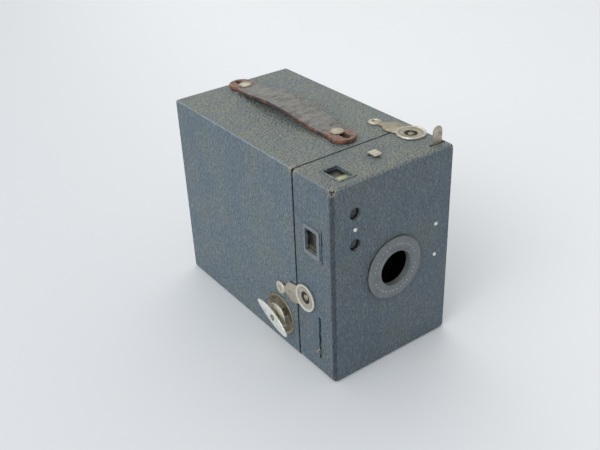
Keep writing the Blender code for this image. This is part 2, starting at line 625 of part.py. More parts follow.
def make_handle():
    """A leather strap with a slotted eye at each end, arched over the case between its studs."""
    front, rear = STUD_PLACES["front"].y, STUD_PLACES["rear"].y
    middle, half_span = (front + rear) / 2, (rear - front) / 2
    eye = half_span + STRAP_EYE_OUTSIDE_STUD
    neck = eye - STRAP_EYE_RADIUS - 2 * MM

    def half_width(distance):
        share = min(abs(distance) / neck, 1)
        swell = (0.5 + 0.5 * math.cos(math.pi * share)) ** 0.6
        return STRAP_NECK_HALF_WIDTH + (STRAP_HALF_WIDTH - STRAP_NECK_HALF_WIDTH) * swell

    steps = 16
    body = [(half_width(d), d) for d in (neck * (2 * i / steps - 1) for i in range(steps + 1))]
    far_eye = arc((0, eye), STRAP_EYE_RADIUS, -40, 220, 14)
    near_eye = arc((0, -eye), STRAP_EYE_RADIUS, 140, 400, 14)
    outline = body + far_eye + [(-u, v) for u, v in reversed(body)] + near_eye
    slot = HANDLE_NECK_RADIUS + 0.5 * MM
    slot_end = eye + STRAP_EYE_RADIUS / 2
    slots = []
    for sign in (-1, 1):
        inner = half_span * sign
        outer = (slot_end - slot) * sign
        turn_round = arc((0, inner), slot, 180 * (sign < 0), 180 * (sign < 0) - 180, 8)
        slots.append(turn_round + arc((0, outer), slot, 180 + 180 * (sign < 0), 180 * (sign < 0), 8))
    deep = 40 * MM
    centre = Vector((0, middle, STRAP_Z))
    strap = plate("handle_strap", LEATHER, [outline, *slots], deep, centre)

    arch_half = half_span - 3 * MM
    reach = eye + STRAP_EYE_RADIUS + 1 * MM
    stations = [arch_half * (i / 10 - 1) for i in range(21)]
    arch = [(d, STRAP_RISE * (0.5 + 0.5 * math.cos(math.pi * d / arch_half))) for d in stations]
    lower = [(-reach, 0)] + arch + [(reach, 0)]
    upper = [(d, h + STRAP_THICKNESS) for d, h in reversed(lower)]
    band = plate("strap_arch", None, [lower + upper], 4 * STRAP_HALF_WIDTH, centre, "YZ")
    combine(strap, band, "INTERSECT")
    hang(joint("handle_lift", centre), strap)


# ---------------------------------------------------------------- front section shell

def finder_x():
    return -HALF_WIDTH + FINDER_FROM_LEFT


def lever_slot_half_height():
    reach = LEVER_PIVOT.x + HALF_WIDTH
    return reach * math.sin(math.radians(LEVER_TURN / 2 + FINGER_HALF_ANGLE)) + 1.6 * MM


def make_front_shell():
    start = PANEL_BACK_Y + GAP
    end = SEAM_Y - GAP
    shell = box("front_shell", LEATHERETTE, (-HALF_WIDTH, start, 0), (HALF_WIDTH, end, BODY_HEIGHT),
                CORNER_RADIUS, on_plane_y(start, end))
    cut_box(shell, "shell_inside", (-INNER_HALF_WIDTH, start - WALL, WALL),
            (INNER_HALF_WIDTH, end + WALL, INNER_TOP))
    top_y, (top_x_size, top_y_size) = FRONT_Y + TOP_WINDOW_FROM_FRONT, TOP_WINDOW_SIZE
    cut_box(shell, "top_window", (finder_x() - top_x_size / 2, top_y - top_y_size / 2, INNER_TOP - WALL),
            (finder_x() + top_x_size / 2, top_y + top_y_size / 2, BODY_HEIGHT + WALL))
    side_y, (side_y_size, side_z_size) = FRONT_Y + SIDE_WINDOW_FROM_FRONT, SIDE_WINDOW_SIZE
    side_z = BODY_HEIGHT - SIDE_WINDOW_DROP
    cut_box(shell, "side_window", (-HALF_WIDTH - WALL, side_y - side_y_size / 2, side_z - side_z_size / 2),
            (-INNER_HALF_WIDTH + WALL, side_y + side_y_size / 2, side_z + side_z_size / 2))
    tab_y = FRONT_Y + STOP_SLIDE_FROM_FRONT
    half_slot = SLIDE_THICKNESS / 2 + GAP
    cut_box(shell, "stop_tab_slot", (-STOP_TAB_HALF_WIDTH - GAP, tab_y - half_slot, INNER_TOP - WALL),
            (STOP_TAB_HALF_WIDTH + GAP, tab_y + half_slot, BODY_HEIGHT + WALL))
    time_x = HALF_WIDTH - TIME_SLIDE_FROM_RIGHT
    time_y = FRONT_Y + TIME_SLIDE_FROM_FRONT
    slot_right = time_x + TIME_TAB_WIDTH / 2 + 2 * GAP
    cut_box(shell, "time_tab_slot", (slot_right - TIME_SLOT_WIDTH, time_y - half_slot, INNER_TOP - WALL),
            (slot_right, time_y + half_slot, BODY_HEIGHT + WALL))
    half_height = lever_slot_half_height()
    cut_box(shell, "lever_slot",
            (-HALF_WIDTH - WALL, LEVER_PIVOT.y - LEVER_SLOT_WIDTH / 2, LEVER_PIVOT.z - half_height),
            (-INNER_HALF_WIDTH + WALL, LEVER_PIVOT.y + LEVER_SLOT_WIDTH / 2, LEVER_PIVOT.z + half_height))
    for latch in ("top", "side"):
        place, along, out = latch_frame(latch)
        drill(shell, f"latch_stud_{latch}", place + along * LATCH_REACH, out, POST_RADIUS + GAP, 4 * WALL, 16)


def rivet_places():
    guide_x = HALF_WIDTH - GUIDE_RIVET_FROM_RIGHT
    between_finders = BODY_HEIGHT - (TOP_FINDER_DROP + SIDE_FINDER_DROP) / 2
    return {
        "rivet_finder": Vector((finder_x(), FRONT_Y, between_finders)),
        "rivet_guide_upper": Vector((guide_x, FRONT_Y, BODY_HEIGHT - GUIDE_RIVET_DROPS[0])),
        "rivet_guide_lower": Vector((guide_x, FRONT_Y, BODY_HEIGHT - GUIDE_RIVET_DROPS[1])),
    }


def finder_holes():
    return {
        "top": Vector((finder_x(), FRONT_Y, BODY_HEIGHT - TOP_FINDER_DROP)),
        "side": Vector((finder_x(), FRONT_Y, BODY_HEIGHT - SIDE_FINDER_DROP)),
    }


def make_front_panel():
    panel = box("front_panel", LEATHERETTE, (-HALF_WIDTH, FRONT_Y, 0),
                (HALF_WIDTH, PANEL_BACK_Y, BODY_HEIGHT), 0.8 * MM, on_plane_y(PANEL_BACK_Y))
    centre = Vector((0, FRONT_Y, LENS_Z))
    drill(panel, "lens_opening", centre, REAR, LENS_OPENING_RADIUS + LENS_RIM + GAP, 6 * MM, 32)
    for name, place in finder_holes().items():
        drill(panel, f"finder_hole_{name}", place, REAR, FINDER_HOLE_RADIUS, 6 * MM)
    for name, place in rivet_places().items():
        drill(panel, f"{name}_hole", place, REAR, RIVET_SHANK + GAP, 6 * MM, 12)

    rim_out = LENS_OPENING_RADIUS + LENS_RIM
    plate_top = LENS_PLATE_HEIGHT
    inside = -PANEL_THICKNESS - 0.7 * MM
    turned("lens_ring", GREY_PAINT,
           [(LENS_OPENING_RADIUS, LENS_RIM_HEIGHT - 0.2 * MM),
            (LENS_OPENING_RADIUS + 0.4 * MM, LENS_RIM_HEIGHT), (rim_out - 0.3 * MM, LENS_RIM_HEIGHT),
            (rim_out, plate_top),
            (LENS_RING_RADIUS - 0.6 * MM, plate_top), (LENS_RING_RADIUS, plate_top - 0.6 * MM),
            (LENS_RING_RADIUS, TRIM_GAP), (rim_out, TRIM_GAP), (rim_out, inside),
            (LENS_OPENING_RADIUS, inside)], centre, FRONT, 32)


def make_rivets():
    for name, place in rivet_places().items():
        turned(name, NICKEL,
               [(0, 0.7 * MM), (0.6 * RIVET_RADIUS, 0.55 * MM), (RIVET_RADIUS, TRIM_GAP),
                (RIVET_SHANK, TRIM_GAP), (RIVET_SHANK, -PANEL_THICKNESS - 1.6 * MM),
                (0, -PANEL_THICKNESS - 1.6 * MM)], place, FRONT, 12)


# ---------------------------------------------------------------- finders

def make_finders():
    """Two small reflex finders: a lens in the front, a mirror at 45 degrees, a glass screen."""
    for name, place in finder_holes().items():
        back = -PANEL_THICKNESS - GAP
        radius = FINDER_HOLE_RADIUS + 0.8 * MM
        turned(f"finder_lens_{name}", GLASS,
               [(0, back), (radius, back), (radius, back - 0.8 * MM), (0.6 * radius, back - 1.5 * MM),
                (0, back - 1.8 * MM)], place, FRONT, 20)

    x, top_y = finder_x(), FRONT_Y + TOP_WINDOW_FROM_FRONT
    side_y, side_z = FRONT_Y + SIDE_WINDOW_FROM_FRONT, BODY_HEIGHT - SIDE_WINDOW_DROP
    holes = finder_holes()
    half, width = MIRROR_LENGTH / 2, 6.5 * MM
    top_mirror = box("finder_mirror_top", MIRROR, (-width, -half, -MIRROR_THICKNESS), (width, half, 0))
    turn = Matrix.Rotation(math.radians(45), 4, "X")
    top_mirror.matrix_world = (Matrix.Translation((x, top_y, holes["top"].z)) @ turn
                               @ top_mirror.matrix_world)
    side_mirror = box("finder_mirror_side", MIRROR, (0, -half, -width), (MIRROR_THICKNESS, half, width))
    turn = Matrix.Rotation(math.radians(45), 4, "Z")
    side_mirror.matrix_world = (Matrix.Translation((x, side_y, holes["side"].z)) @ turn
                                @ side_mirror.matrix_world)

    grow = GLASS_OVERLAP
    x_half, y_half = TOP_WINDOW_SIZE[0] / 2 + grow, TOP_WINDOW_SIZE[1] / 2 + grow
    glass_top = INNER_TOP - GAP
    box("finder_glass_top", GLASS, (x - x_half, top_y - y_half, glass_top - GLASS_THICKNESS),
        (x + x_half, top_y + y_half, glass_top))
    y_half, z_half = SIDE_WINDOW_SIZE[0] / 2 + grow, SIDE_WINDOW_SIZE[1] / 2 + grow
    glass_left = -INNER_HALF_WIDTH + GAP
    box("finder_glass_side", GLASS, (glass_left, side_y - y_half, side_z - z_half),
        (glass_left + GLASS_THICKNESS, side_y + y_half, side_z + z_half))
    y_half, z_half = SIDE_WINDOW_SIZE[0] / 2, SIDE_WINDOW_SIZE[1] / 2
    hole = rectangle((-y_half, -z_half), (y_half, z_half))
    rim = rounded_rectangle((-y_half - FRAME_BORDER, -z_half - FRAME_BORDER),
                            (y_half + FRAME_BORDER / 2, z_half + FRAME_BORDER), 1 * MM, 3)
    plate("finder_frame_side", BLACK_STEEL, [rim, hole], FRAME_THICKNESS,
          (-HALF_WIDTH - TRIM_GAP - FRAME_THICKNESS / 2, side_y, side_z), "YZ")

    # The bracket between the finders is an angle: a flange behind the panel and a shelf.
    flange_y = PANEL_BACK_Y + GAP
    shelf_z = rivet_places()["rivet_finder"].z + RIVET_RADIUS + 1 * MM
    depth = BOARD_Y - GAP - flange_y - 6 * MM
    angle = [(0, 0), (depth, 0), (depth, -BRACKET_THICKNESS), (BRACKET_THICKNESS, -BRACKET_THICKNESS),
             (BRACKET_THICKNESS, -5 * MM), (0, -5 * MM)]
    bracket = plate("finder_bracket", BLACK_STEEL, [angle], 13 * MM,
                    (x, flange_y, shelf_z + BRACKET_THICKNESS), "YZ")
    drill(bracket, "finder_bracket_rivet", rivet_places()["rivet_finder"] + REAR * PANEL_THICKNESS,
          REAR, RIVET_SHANK + GAP, 6 * MM, 12)


# ---------------------------------------------------------------- shutter and stops

def make_board_and_lens():
    half = INNER_HALF_WIDTH - GAP
    board = box("mechanism_board", BLACK_CARD, (-half, BOARD_Y, WALL + GAP),
                (half, BOARD_BACK_Y, INNER_TOP - GAP))
    centre = Vector((0, BOARD_Y, LENS_Z))
    drill(board, "board_lens_hole", centre, REAR, LENS_RADIUS - CELL_LIP, 6 * BOARD_THICKNESS, 32)
    depth = LENS_THICKNESS + 2 * GAP + 2 * CELL_END
    turned("lens_cell", BLACK_STEEL,
           [(LENS_RADIUS - CELL_LIP, depth), (CELL_RADIUS, depth), (CELL_RADIUS, GAP),
            (LENS_RADIUS + GAP, GAP), (LENS_RADIUS + GAP, depth - CELL_END),
            (LENS_RADIUS - CELL_LIP, depth - CELL_END)], centre, FRONT, 24)
    # The lens is a meniscus, hollow side to the front.
    steps = 4
    radii = [LENS_RADIUS * i / steps for i in range(steps + 1)]

    def sag(r):
        return LENS_BULGE * (r / LENS_RADIUS) ** 2

    back = 2 * GAP
    rear_face = [(r, back + sag(r)) for r in radii]
    front_face = [(r, back + LENS_THICKNESS - 0.3 * MM + 0.7 * sag(r)) for r in reversed(radii)]
    turned("meniscus_lens", GLASS, rear_face + front_face, centre, FRONT, 24)


def make_posts():
    """Both posts stand on the board. A shoulder carries the disc or lever, and a head keeps it on."""
    for name, place, thickness in (("disc_post", DISC_CENTRE, DISC_THICKNESS),
                                   ("lever_post", LEVER_PIVOT, LEVER_THICKNESS)):
        foot = BOARD_Y - GAP - place.y
        face = thickness / 2 + GAP
        head = face + POST_HEAD_HEIGHT
        turned(name, STEEL,
               [(0, head), (POST_HEAD_RADIUS, head), (POST_HEAD_RADIUS, face), (POST_RADIUS, face),
                (POST_RADIUS, -face), (POST_HEAD_RADIUS, -face), (POST_HEAD_RADIUS, -head),
                (POST_RADIUS, -head), (POST_RADIUS, -foot), (0, -foot)], place, FRONT, 16)


def make_shutter():
    to_lens = Vector((0, 0, LENS_Z)) - DISC_CENTRE
    reach = math.hypot(to_lens.x, to_lens.z)
    port_angle = math.degrees(math.atan2(to_lens.z, to_lens.x)) + DISC_TURN / 2
    (port,) = arc((0, 0), reach, port_angle, port_angle, 1)[:1]
    disc = plate("shutter_disc", BLACK_STEEL,
                 [circle((0, 0), DISC_RADIUS, 36), circle(port, PORT_RADIUS),
                  circle((0, 0), POST_RADIUS + GAP, 16)], DISC_THICKNESS, DISC_CENTRE, "XZ")
    hang(joint("shutter_disc_turn", DISC_CENTRE), disc)

    # At rest the lever points left and down by half its swing, so its finger is at the slot's foot.
    wall = LEVER_PIVOT.x + HALF_WIDTH
    rest = 180 + LEVER_TURN / 2
    finger_base, finger_tip = wall + 1.5 * MM, wall + FINGER_STANDS_OUT + 0.6 * MM

    def at(radius, angle):
        return arc((0, 0), radius, rest + angle, rest + angle, 1)[0]

    slope = math.degrees(LEVER_HALF_WIDTH / finger_base)
    outline = arc((0, 0), LEVER_EYE_RADIUS, rest + 25, rest + 335, 18)
    outline += [at(finger_base, -slope), at(finger_base, -FINGER_HALF_ANGLE),
                at(finger_tip, 1 - FINGER_HALF_ANGLE), at(finger_tip, 2.5 - FINGER_HALF_ANGLE),
                at(finger_base, FINGER_HALF_ANGLE), at(finger_base - 0.8 * MM, FINGER_HALF_ANGLE),
                at(finger_base - 0.8 * MM, slope)]
    lever = plate("shutter_lever", NICKEL, [outline, circle((0, 0), POST_RADIUS + GAP, 16)],
                  LEVER_THICKNESS, LEVER_PIVOT, "XZ")
    hang(joint("shutter_lever_turn", LEVER_PIVOT), lever)

    # The spring is coiled round the lever's post behind the disc.
    coil = POST_RADIUS + SPRING_WIRE + 0.8 * MM
    start = LEVER_PIVOT + Vector((0, DISC_CENTRE.y - LEVER_PIVOT.y + DISC_THICKNESS / 2 + 1.4 * MM, 0))
    steps = 12
    points = [start + Vector((coil + SPRING_TAIL, 0, 3 * MM))]
    for i in range(SPRING_TURNS * steps + 1):
        angle = 2 * math.pi * i / steps
        points.append(start + Vector((coil * math.cos(angle), i * SPRING_PITCH / steps,
                                      coil * math.sin(angle))))
    points.append(points[-1] + Vector((1 * MM, 0, SPRING_TAIL)))
    wire("shutter_spring", STEEL, points, SPRING_WIRE)


def wire(name, material, points, radius):
    curve = bpy.data.curves.new(name, "CURVE")
    curve.dimensions = "3D"
    curve.bevel_depth = radius
    curve.bevel_resolution = 1
    curve.use_fill_caps = True
    spline = curve.splines.new("POLY")
    spline.points.add(len(points) - 1)
    for target, point in zip(spline.points, points):
        target.co = (*point, 1)
    curve.materials.append(material)
    piece = bpy.data.objects.new(name, curve)
    CAMERA.objects.link(piece)
    return piece


def make_stop_slide():
    """A strip with three stops. Its square tab on top is drawn up one click for each smaller stop."""
    y = FRONT_Y + STOP_SLIDE_FROM_FRONT
    half = SLIDE_THICKNESS / 2
    low = LENS_Z - STOP_SPACING * (len(STOP_RADII) - 1) - 8 * MM
    shoulder = INNER_TOP - STOP_SPACING * (len(STOP_RADII) - 1) - 2 * MM
    tab_top = BODY_HEIGHT + STOP_TAB_HEIGHT + SLIDE_THICKNESS
    strip = box("stop_slide", NICKEL, (-STOP_SLIDE_HALF_WIDTH, y - half, low),
                (STOP_SLIDE_HALF_WIDTH, y + half, shoulder))
    bent = [(-half, -(tab_top - shoulder) - 1 * MM), (half, -(tab_top - shoulder) - 1 * MM), (half, 0),
            (half - STOP_TAB_LENGTH, 0), (half - STOP_TAB_LENGTH, -SLIDE_THICKNESS),
            (-half, -SLIDE_THICKNESS)]
    tab = plate("stop_tab", None, [bent], 2 * STOP_TAB_HALF_WIDTH, (0, y, tab_top), "YZ")
    combine(strip, tab, "UNION")
    for i, radius in enumerate(STOP_RADII):
        drill(strip, f"stop_{i}", (0, y, LENS_Z - i * STOP_SPACING), REAR, radius, 4 * MM)
    hang(joint("stop_slide_lift", (0, y, BODY_HEIGHT)), strip)

    # The guide is a bridge over the strip, standing on the board.
    sheet = BRACKET_THICKNESS
    inner = STOP_SLIDE_HALF_WIDTH + 4 * GAP
    outer = inner + GUIDE_FOOT
    front, back = -half - 2 * GAP - sheet, BOARD_Y - GAP - y
    bridge = [(-outer, front), (outer, front), (outer, back), (inner, back), (inner, front + sheet),
              (-inner, front + sheet), (-inner, back), (-outer, back)]
    plate("stop_guide", BLACK_STEEL, [bridge], GUIDE_HEIGHT,
          (0, y, (LENS_Z + CELL_RADIUS + shoulder) / 2), "XY")


def make_time_slide():
    """The tall tab is pulled up for time exposures. Its strip runs in a channel riveted to the panel."""
    x, y = HALF_WIDTH - TIME_SLIDE_FROM_RIGHT, FRONT_Y + TIME_SLIDE_FROM_FRONT
    half_tab, right = TIME_TAB_WIDTH / 2, TIME_TAB_WIDTH / 2
    left = right - TIME_SLIDE_WIDTH
    tip = TIME_TAB_HEIGHT - half_tab
    step = -3 * MM
    outline = [(left, -TIME_SLIDE_DEPTH), (right, -TIME_SLIDE_DEPTH)] + arc((0, tip), half_tab, 0, 180, 12)
    outline += [(-half_tab, step), (left, step)]
    slide = plate("time_slide", NICKEL, [outline], SLIDE_THICKNESS, (x, y, BODY_HEIGHT), "XZ")
    hang(joint("time_slide_move", (x, y, BODY_HEIGHT)), slide)

    sheet = BRACKET_THICKNESS
    upper, lower = GUIDE_RIVET_DROPS
    start_x = HALF_WIDTH - GUIDE_RIVET_FROM_RIGHT - 2 * MM
    width = INNER_HALF_WIDTH - 1 * MM - start_x
    depth = TIME_SLIDE_FROM_FRONT + SLIDE_THICKNESS / 2 + 4 * GAP + sheet - PANEL_THICKNESS - GAP
    channel = [(0, 0), (width, 0), (width, sheet), (sheet, sheet), (sheet, depth - sheet),
               (width, depth - sheet), (width, depth), (0, depth)]
    guide = plate("time_guide", BLACK_STEEL, [channel], lower - upper + 9 * MM,
                  (start_x, PANEL_BACK_Y + GAP, BODY_HEIGHT - (upper + lower) / 2), "XY")
    for end in ("upper", "lower"):
        place = rivet_places()[f"rivet_guide_{end}"] + REAR * PANEL_THICKNESS
        drill(guide, f"time_guide_{end}", place, REAR, RIVET_SHANK + GAP, 4 * MM, 12)


# ---------------------------------------------------------------- film carrier

def make_light_lip():
    """A thin sleeve behind the board that reaches into the case and keeps light out of the seam."""
    half, low, high = INNER_HALF_WIDTH - GAP, WALL + GAP, INNER_TOP - GAP
    start, end = BOARD_BACK_Y + GAP, SEAM_Y + LIP_OVERLAP
    lip = box("light_lip", BLACK_CARD, (-half, start, low), (half, end, high))
    t = LIP_THICKNESS
    cut_box(lip, "lip_inside", (-half + t, start - WALL, low + t), (half - t, end + WALL, high - t))


def make_light_cone():
    """A four-sided tapered shell from behind the lens to the film frame, open at both ends."""
    start, end = BOARD_BACK_Y + GAP, FILM_Y - FILM_FRAME_THICKNESS - CONE_WALL
    gate_x, gate_z = gate_half_size()
    bm = bmesh.new()
    bmesh.ops.create_cube(bm, size=1)
    ends = [face for face in bm.faces if abs(face.normal.y) > 0.5]
    for vert in bm.verts:
        at_front = vert.co.y < 0
        half_x = CONE_MOUTH / 2 if at_front else gate_x + 1 * MM
        half_z = CONE_MOUTH / 2 if at_front else gate_z + 1 * MM
        vert.co = Vector((math.copysign(half_x, vert.co.x), start if at_front else end,
                          LENS_Z + math.copysign(half_z, vert.co.z)))
    bmesh.ops.delete(bm, geom=ends, context="FACES_ONLY")
    cone = add_object("light_cone", bm, BLACK_CARD, Matrix())
    wall = cone.modifiers.new("wall", "SOLIDIFY")
    wall.thickness = CONE_WALL
    wall.offset = -1
    wall.use_even_offset = True


def gate_half_size():
    """Half the width and half the height of the picture."""
    lug_clearance = ROLLER_RADIUS + GAP
    return (CHEEK_OUTSIDE - GATE_SIDE_BORDER,
            (ROLLER_HIGH - ROLLER_LOW) / 2 - lug_clearance - GATE_END_BORDER)


def make_film_frame():
    """The frame the film is drawn over. A lug at each corner carries the end of a roller's axle."""
    half = CHEEK_OUTSIDE - 0.8 * MM
    side = (ROLLER_HIGH - ROLLER_LOW) / 2 - ROLLER_RADIUS - GAP
    lug = (ROLLER_HIGH - ROLLER_LOW) / 2 + ROLLER_RADIUS - 0.2 * MM
    quarter = [(half, lug), (half - LUG_WIDTH, lug), (half - LUG_WIDTH, side)]
    outline = quarter + [(-u, v) for u, v in reversed(quarter)]
    outline += [(-u, -v) for u, v in quarter] + [(u, -v) for u, v in reversed(quarter)]
    gate_x, gate_z = gate_half_size()
    gate = rectangle((-gate_x, -gate_z), (gate_x, gate_z))
    frame = plate("film_frame", BLACK_STEEL, [outline, gate], FILM_FRAME_THICKNESS,
                  (0, ROLLER_Y, LENS_Z), "XZ")
    for end, z in (("bottom", ROLLER_LOW), ("top", ROLLER_HIGH)):
        drill(frame, f"axle_{end}", (0, ROLLER_Y, z), RIGHT, AXLE_RADIUS + GAP, 4 * half, 12)
        axle_half = half + 0.3 * MM
        cylinder(f"roller_axle_{end}", STEEL, (-axle_half, ROLLER_Y, z), RIGHT, 2 * axle_half,
                 AXLE_RADIUS, 10)
        length = half - LUG_WIDTH - 2 * GAP
        roller = turned(f"film_roller_{end}", NICKEL,
                        [(ROLLER_BORE, length), (ROLLER_RADIUS, length), (ROLLER_RADIUS, -length),
                         (ROLLER_BORE, -length)], (0, ROLLER_Y, z), RIGHT, 16)
        hang(joint(f"roller_{end}_turn", (0, ROLLER_Y, z)), roller)


def make_carrier():
    """Two cheeks behind the board hold the spools: pins on the right, the key on the left below."""
    start = BOARD_BACK_Y + GAP
    outline = rounded_rectangle((0, CARRIER_LOW), (CHEEK_DEPTH, CARRIER_HIGH), CHEEK_CORNER_RADIUS)
    for side, sign in (("left", -1), ("right", 1)):
        cheek = plate(f"carrier_cheek_{side}", BLACK_STEEL, [outline], CHEEK_THICKNESS,
                      (sign * (CHEEK_INSIDE + CHEEK_THICKNESS / 2), start, 0), "YZ")
        for name, z in (("supply", SUPPLY_Z), ("take_up", SPOOL_ABOVE_BASE)):
            key_passes = (side, name) == ("left", "take_up")
            radius = KEY_SHAFT_RADIUS + 2 * GAP if key_passes else PIN_RADIUS + GAP
            drill(cheek, f"{name}_{side}", (sign * CHEEK_INSIDE, SPOOL_Y, z), RIGHT, radius,
                  6 * CHEEK_THICKNESS, 20)
            if key_passes:
                continue
            head, reach = CHEEK_OUTSIDE + GAP, SPOOL_HALF_LENGTH - PIN_REACH
            turned(f"{name}_pin_{side}", STEEL,
                   [(0, head + PIN_HEAD_HEIGHT), (PIN_HEAD_RADIUS, head + PIN_HEAD_HEIGHT),
                    (PIN_HEAD_RADIUS, head), (PIN_RADIUS, head), (PIN_RADIUS, reach + 0.5 * MM),
                    (PIN_RADIUS - 0.5 * MM, reach), (0, reach)],
                   (0, SPOOL_Y, z), RIGHT * sign, 16)


def make_take_up_spool():
    half, t = SPOOL_HALF_LENGTH, SPOOL_FLANGE_THICKNESS
    centre = Vector((0, SPOOL_Y, SPOOL_ABOVE_BASE))
    spool = turned("take_up_spool", WOOD,
                   [(0, half), (SPOOL_FLANGE_RADIUS, half), (SPOOL_FLANGE_RADIUS, half - t),
                    (SPOOL_CORE_RADIUS, half - t), (SPOOL_CORE_RADIUS, t - half),
                    (SPOOL_FLANGE_RADIUS, t - half), (SPOOL_FLANGE_RADIUS, -half), (0, -half)],
                   centre, RIGHT, 28)
    drill(spool, "spool_pin", centre + RIGHT * half, RIGHT, PIN_RADIUS + GAP, 2 * SPOOL_BORE_DEPTH, 20)
    slot_high = Vector((KEY_SLOT_DEPTH, KEY_BLADE_WIDTH / 2 + KEY_SLOT_PLAY,
                        KEY_BLADE_THICKNESS / 2 + KEY_SLOT_PLAY))
    slot = box("cut_spool_key", None, -slot_high, slot_high)
    tilt = Matrix.Rotation(math.radians(KEY_WING_TILT), 4, "X")
    slot.matrix_world = Matrix.Translation(centre + LEFT * half) @ tilt @ slot.matrix_world
    combine(spool, slot)
    hang(joint("take_up_turn", centre), spool)


make_rear_case()
make_red_window()
make_handle_studs()
make_tripod_bushes()
make_key()
for latch_name in ("top", "side"):
    make_latch(latch_name)
make_handle()
make_front_shell()
make_front_panel()
make_rivets()
make_finders()
make_board_and_lens()
make_posts()
make_shutter()
make_stop_slide()
make_time_slide()
make_light_lip()
make_light_cone()
make_film_frame()
make_carrier()
make_take_up_spool()
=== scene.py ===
# %% [markdown]
# # A box camera for roll film, finished piece by piece
# The measured model of the camera is loaded first as a fixed frame. Each step
# below then takes one piece of the real object, says what it is and how it could
# be made in Blender, and builds it over the frame with mesh operators and
# procedural materials.

# %% Load the measured frame
import math

import bmesh
import bpy
from mathutils import Matrix, Vector


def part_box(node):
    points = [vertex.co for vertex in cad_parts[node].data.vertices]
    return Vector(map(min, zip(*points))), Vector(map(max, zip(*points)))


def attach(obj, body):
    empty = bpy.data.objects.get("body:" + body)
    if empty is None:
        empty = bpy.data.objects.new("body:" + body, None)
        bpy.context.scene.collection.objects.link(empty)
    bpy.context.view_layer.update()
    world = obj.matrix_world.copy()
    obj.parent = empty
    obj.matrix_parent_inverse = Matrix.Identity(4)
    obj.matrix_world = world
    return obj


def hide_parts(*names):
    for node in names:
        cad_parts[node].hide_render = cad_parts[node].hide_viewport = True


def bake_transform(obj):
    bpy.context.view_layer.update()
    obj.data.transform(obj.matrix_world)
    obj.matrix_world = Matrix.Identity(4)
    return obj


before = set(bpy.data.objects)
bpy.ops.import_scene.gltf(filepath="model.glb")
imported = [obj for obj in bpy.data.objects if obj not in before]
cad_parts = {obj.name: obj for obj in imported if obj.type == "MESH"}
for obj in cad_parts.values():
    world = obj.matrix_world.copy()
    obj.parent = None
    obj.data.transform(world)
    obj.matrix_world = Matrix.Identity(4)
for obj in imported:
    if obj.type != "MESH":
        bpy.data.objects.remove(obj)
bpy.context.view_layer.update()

MM = 0.001
MERGE_REACH = 0.001 * MM  # vertices closer than this are one

# %% [markdown]
# ## Places and sizes
# Nothing is measured twice. The body's faces, the key's axle, the studs and the
# lens all come from the boxes of the measured nodes, so the finished pieces sit
# exactly where the moving model expects them.

# %% Directions and main planes
LEFT, RIGHT = Vector((-1, 0, 0)), Vector((1, 0, 0))
FRONT, REAR = Vector((0, -1, 0)), Vector((0, 1, 0))
UP, DOWN = Vector((0, 0, 1)), Vector((0, 0, -1))
case_low, case_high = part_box("rear_case")
front_low, front_high = Vector(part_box("front_panel")[0]), Vector(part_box("front_shell")[1])
front_y, seam_y, rear_y = front_low.y, front_high.y, case_high.y
top_z, side_x = case_high.z, case_high.x


def middle_of(node):
    """The centre of a node's box."""
    low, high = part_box(node)
    return (low + high) / 2


key_axis, lens_axis = middle_of("key_dish"), middle_of("lens_ring")
key_place = Vector((-side_x, key_axis.y, key_axis.z))
print("front section", round((seam_y - front_y) / MM, 1), "mm deep, top at", round(top_z / MM, 1))

# %% [markdown]
# ## Small tools for shaping
# Most metal parts here are turned or stamped. A turned part is half an outline
# spun round an axis, and a stamped one is a flat outline given a thickness. Both
# then have their sharp edges broken, because no real edge is perfectly sharp and
# a rounded one catches the light.

# %% Turn, stamp and soften
def facing(place, out, along=None):
    """A matrix that turns local Z to the way out of a surface, and local X along it."""
    out = Vector(out).normalized()
    along = Vector(along) if along else out.orthogonal()
    along = (along - out * along.dot(out)).normalized()
    turn = Matrix((along, out.cross(along), out)).transposed()
    return Matrix.Translation(place) @ turn.to_4x4()


def soften(bm, width, segments=2, angle=30):
    """Rounds every edge that turns by more than the angle."""
    limit = math.radians(angle)
    edges = [edge for edge in bm.edges
             if len(edge.link_faces) == 2 and edge.calc_face_angle() > limit]
    bmesh.ops.bevel(bm, geom=edges, offset=width, offset_type="OFFSET", segments=segments,
                    profile=0.5, affect="EDGES", material=-1, clamp_overlap=True)


def lathe(profile, matrix, steps=48, closed=True):
    """Spins an outline of (radius, height) pairs in mm into a turned part."""
    bm = bmesh.new()
    points = [bm.verts.new((radius * MM, 0, height * MM)) for radius, height in profile]
    pairs = list(zip(points, points[1:]))
    if closed:
        pairs.append((points[-1], points[0]))
    edges = [bm.edges.new(pair) for pair in pairs]
    bmesh.ops.spin(bm, geom=points + edges, cent=(0, 0, 0), axis=(0, 0, 1), angle=2 * math.pi,
                   steps=steps, use_merge=True)
    bmesh.ops.remove_doubles(bm, verts=bm.verts, dist=0.002 * MM)
    loose = [edge for edge in bm.edges if not edge.link_faces]
    bmesh.ops.delete(bm, geom=loose, context="EDGES")
    bmesh.ops.recalc_face_normals(bm, faces=bm.faces)
    bmesh.ops.transform(bm, matrix=matrix, verts=bm.verts)
    return bm


def stamp(outline, thickness, low=0.0):
    """Cuts a flat outline of (x, y) pairs in mm from sheet. The underside is at the height low."""
    bm = bmesh.new()
    face = bm.faces.new([bm.verts.new((x * MM, y * MM, low * MM)) for x, y in outline])
    made = bmesh.ops.extrude_face_region(bm, geom=[face])
    raised = [part for part in made["geom"] if isinstance(part, bmesh.types.BMVert)]
    bmesh.ops.translate(bm, vec=(0, 0, thickness * MM), verts=raised)
    bmesh.ops.recalc_face_normals(bm, faces=bm.faces)
    return bm


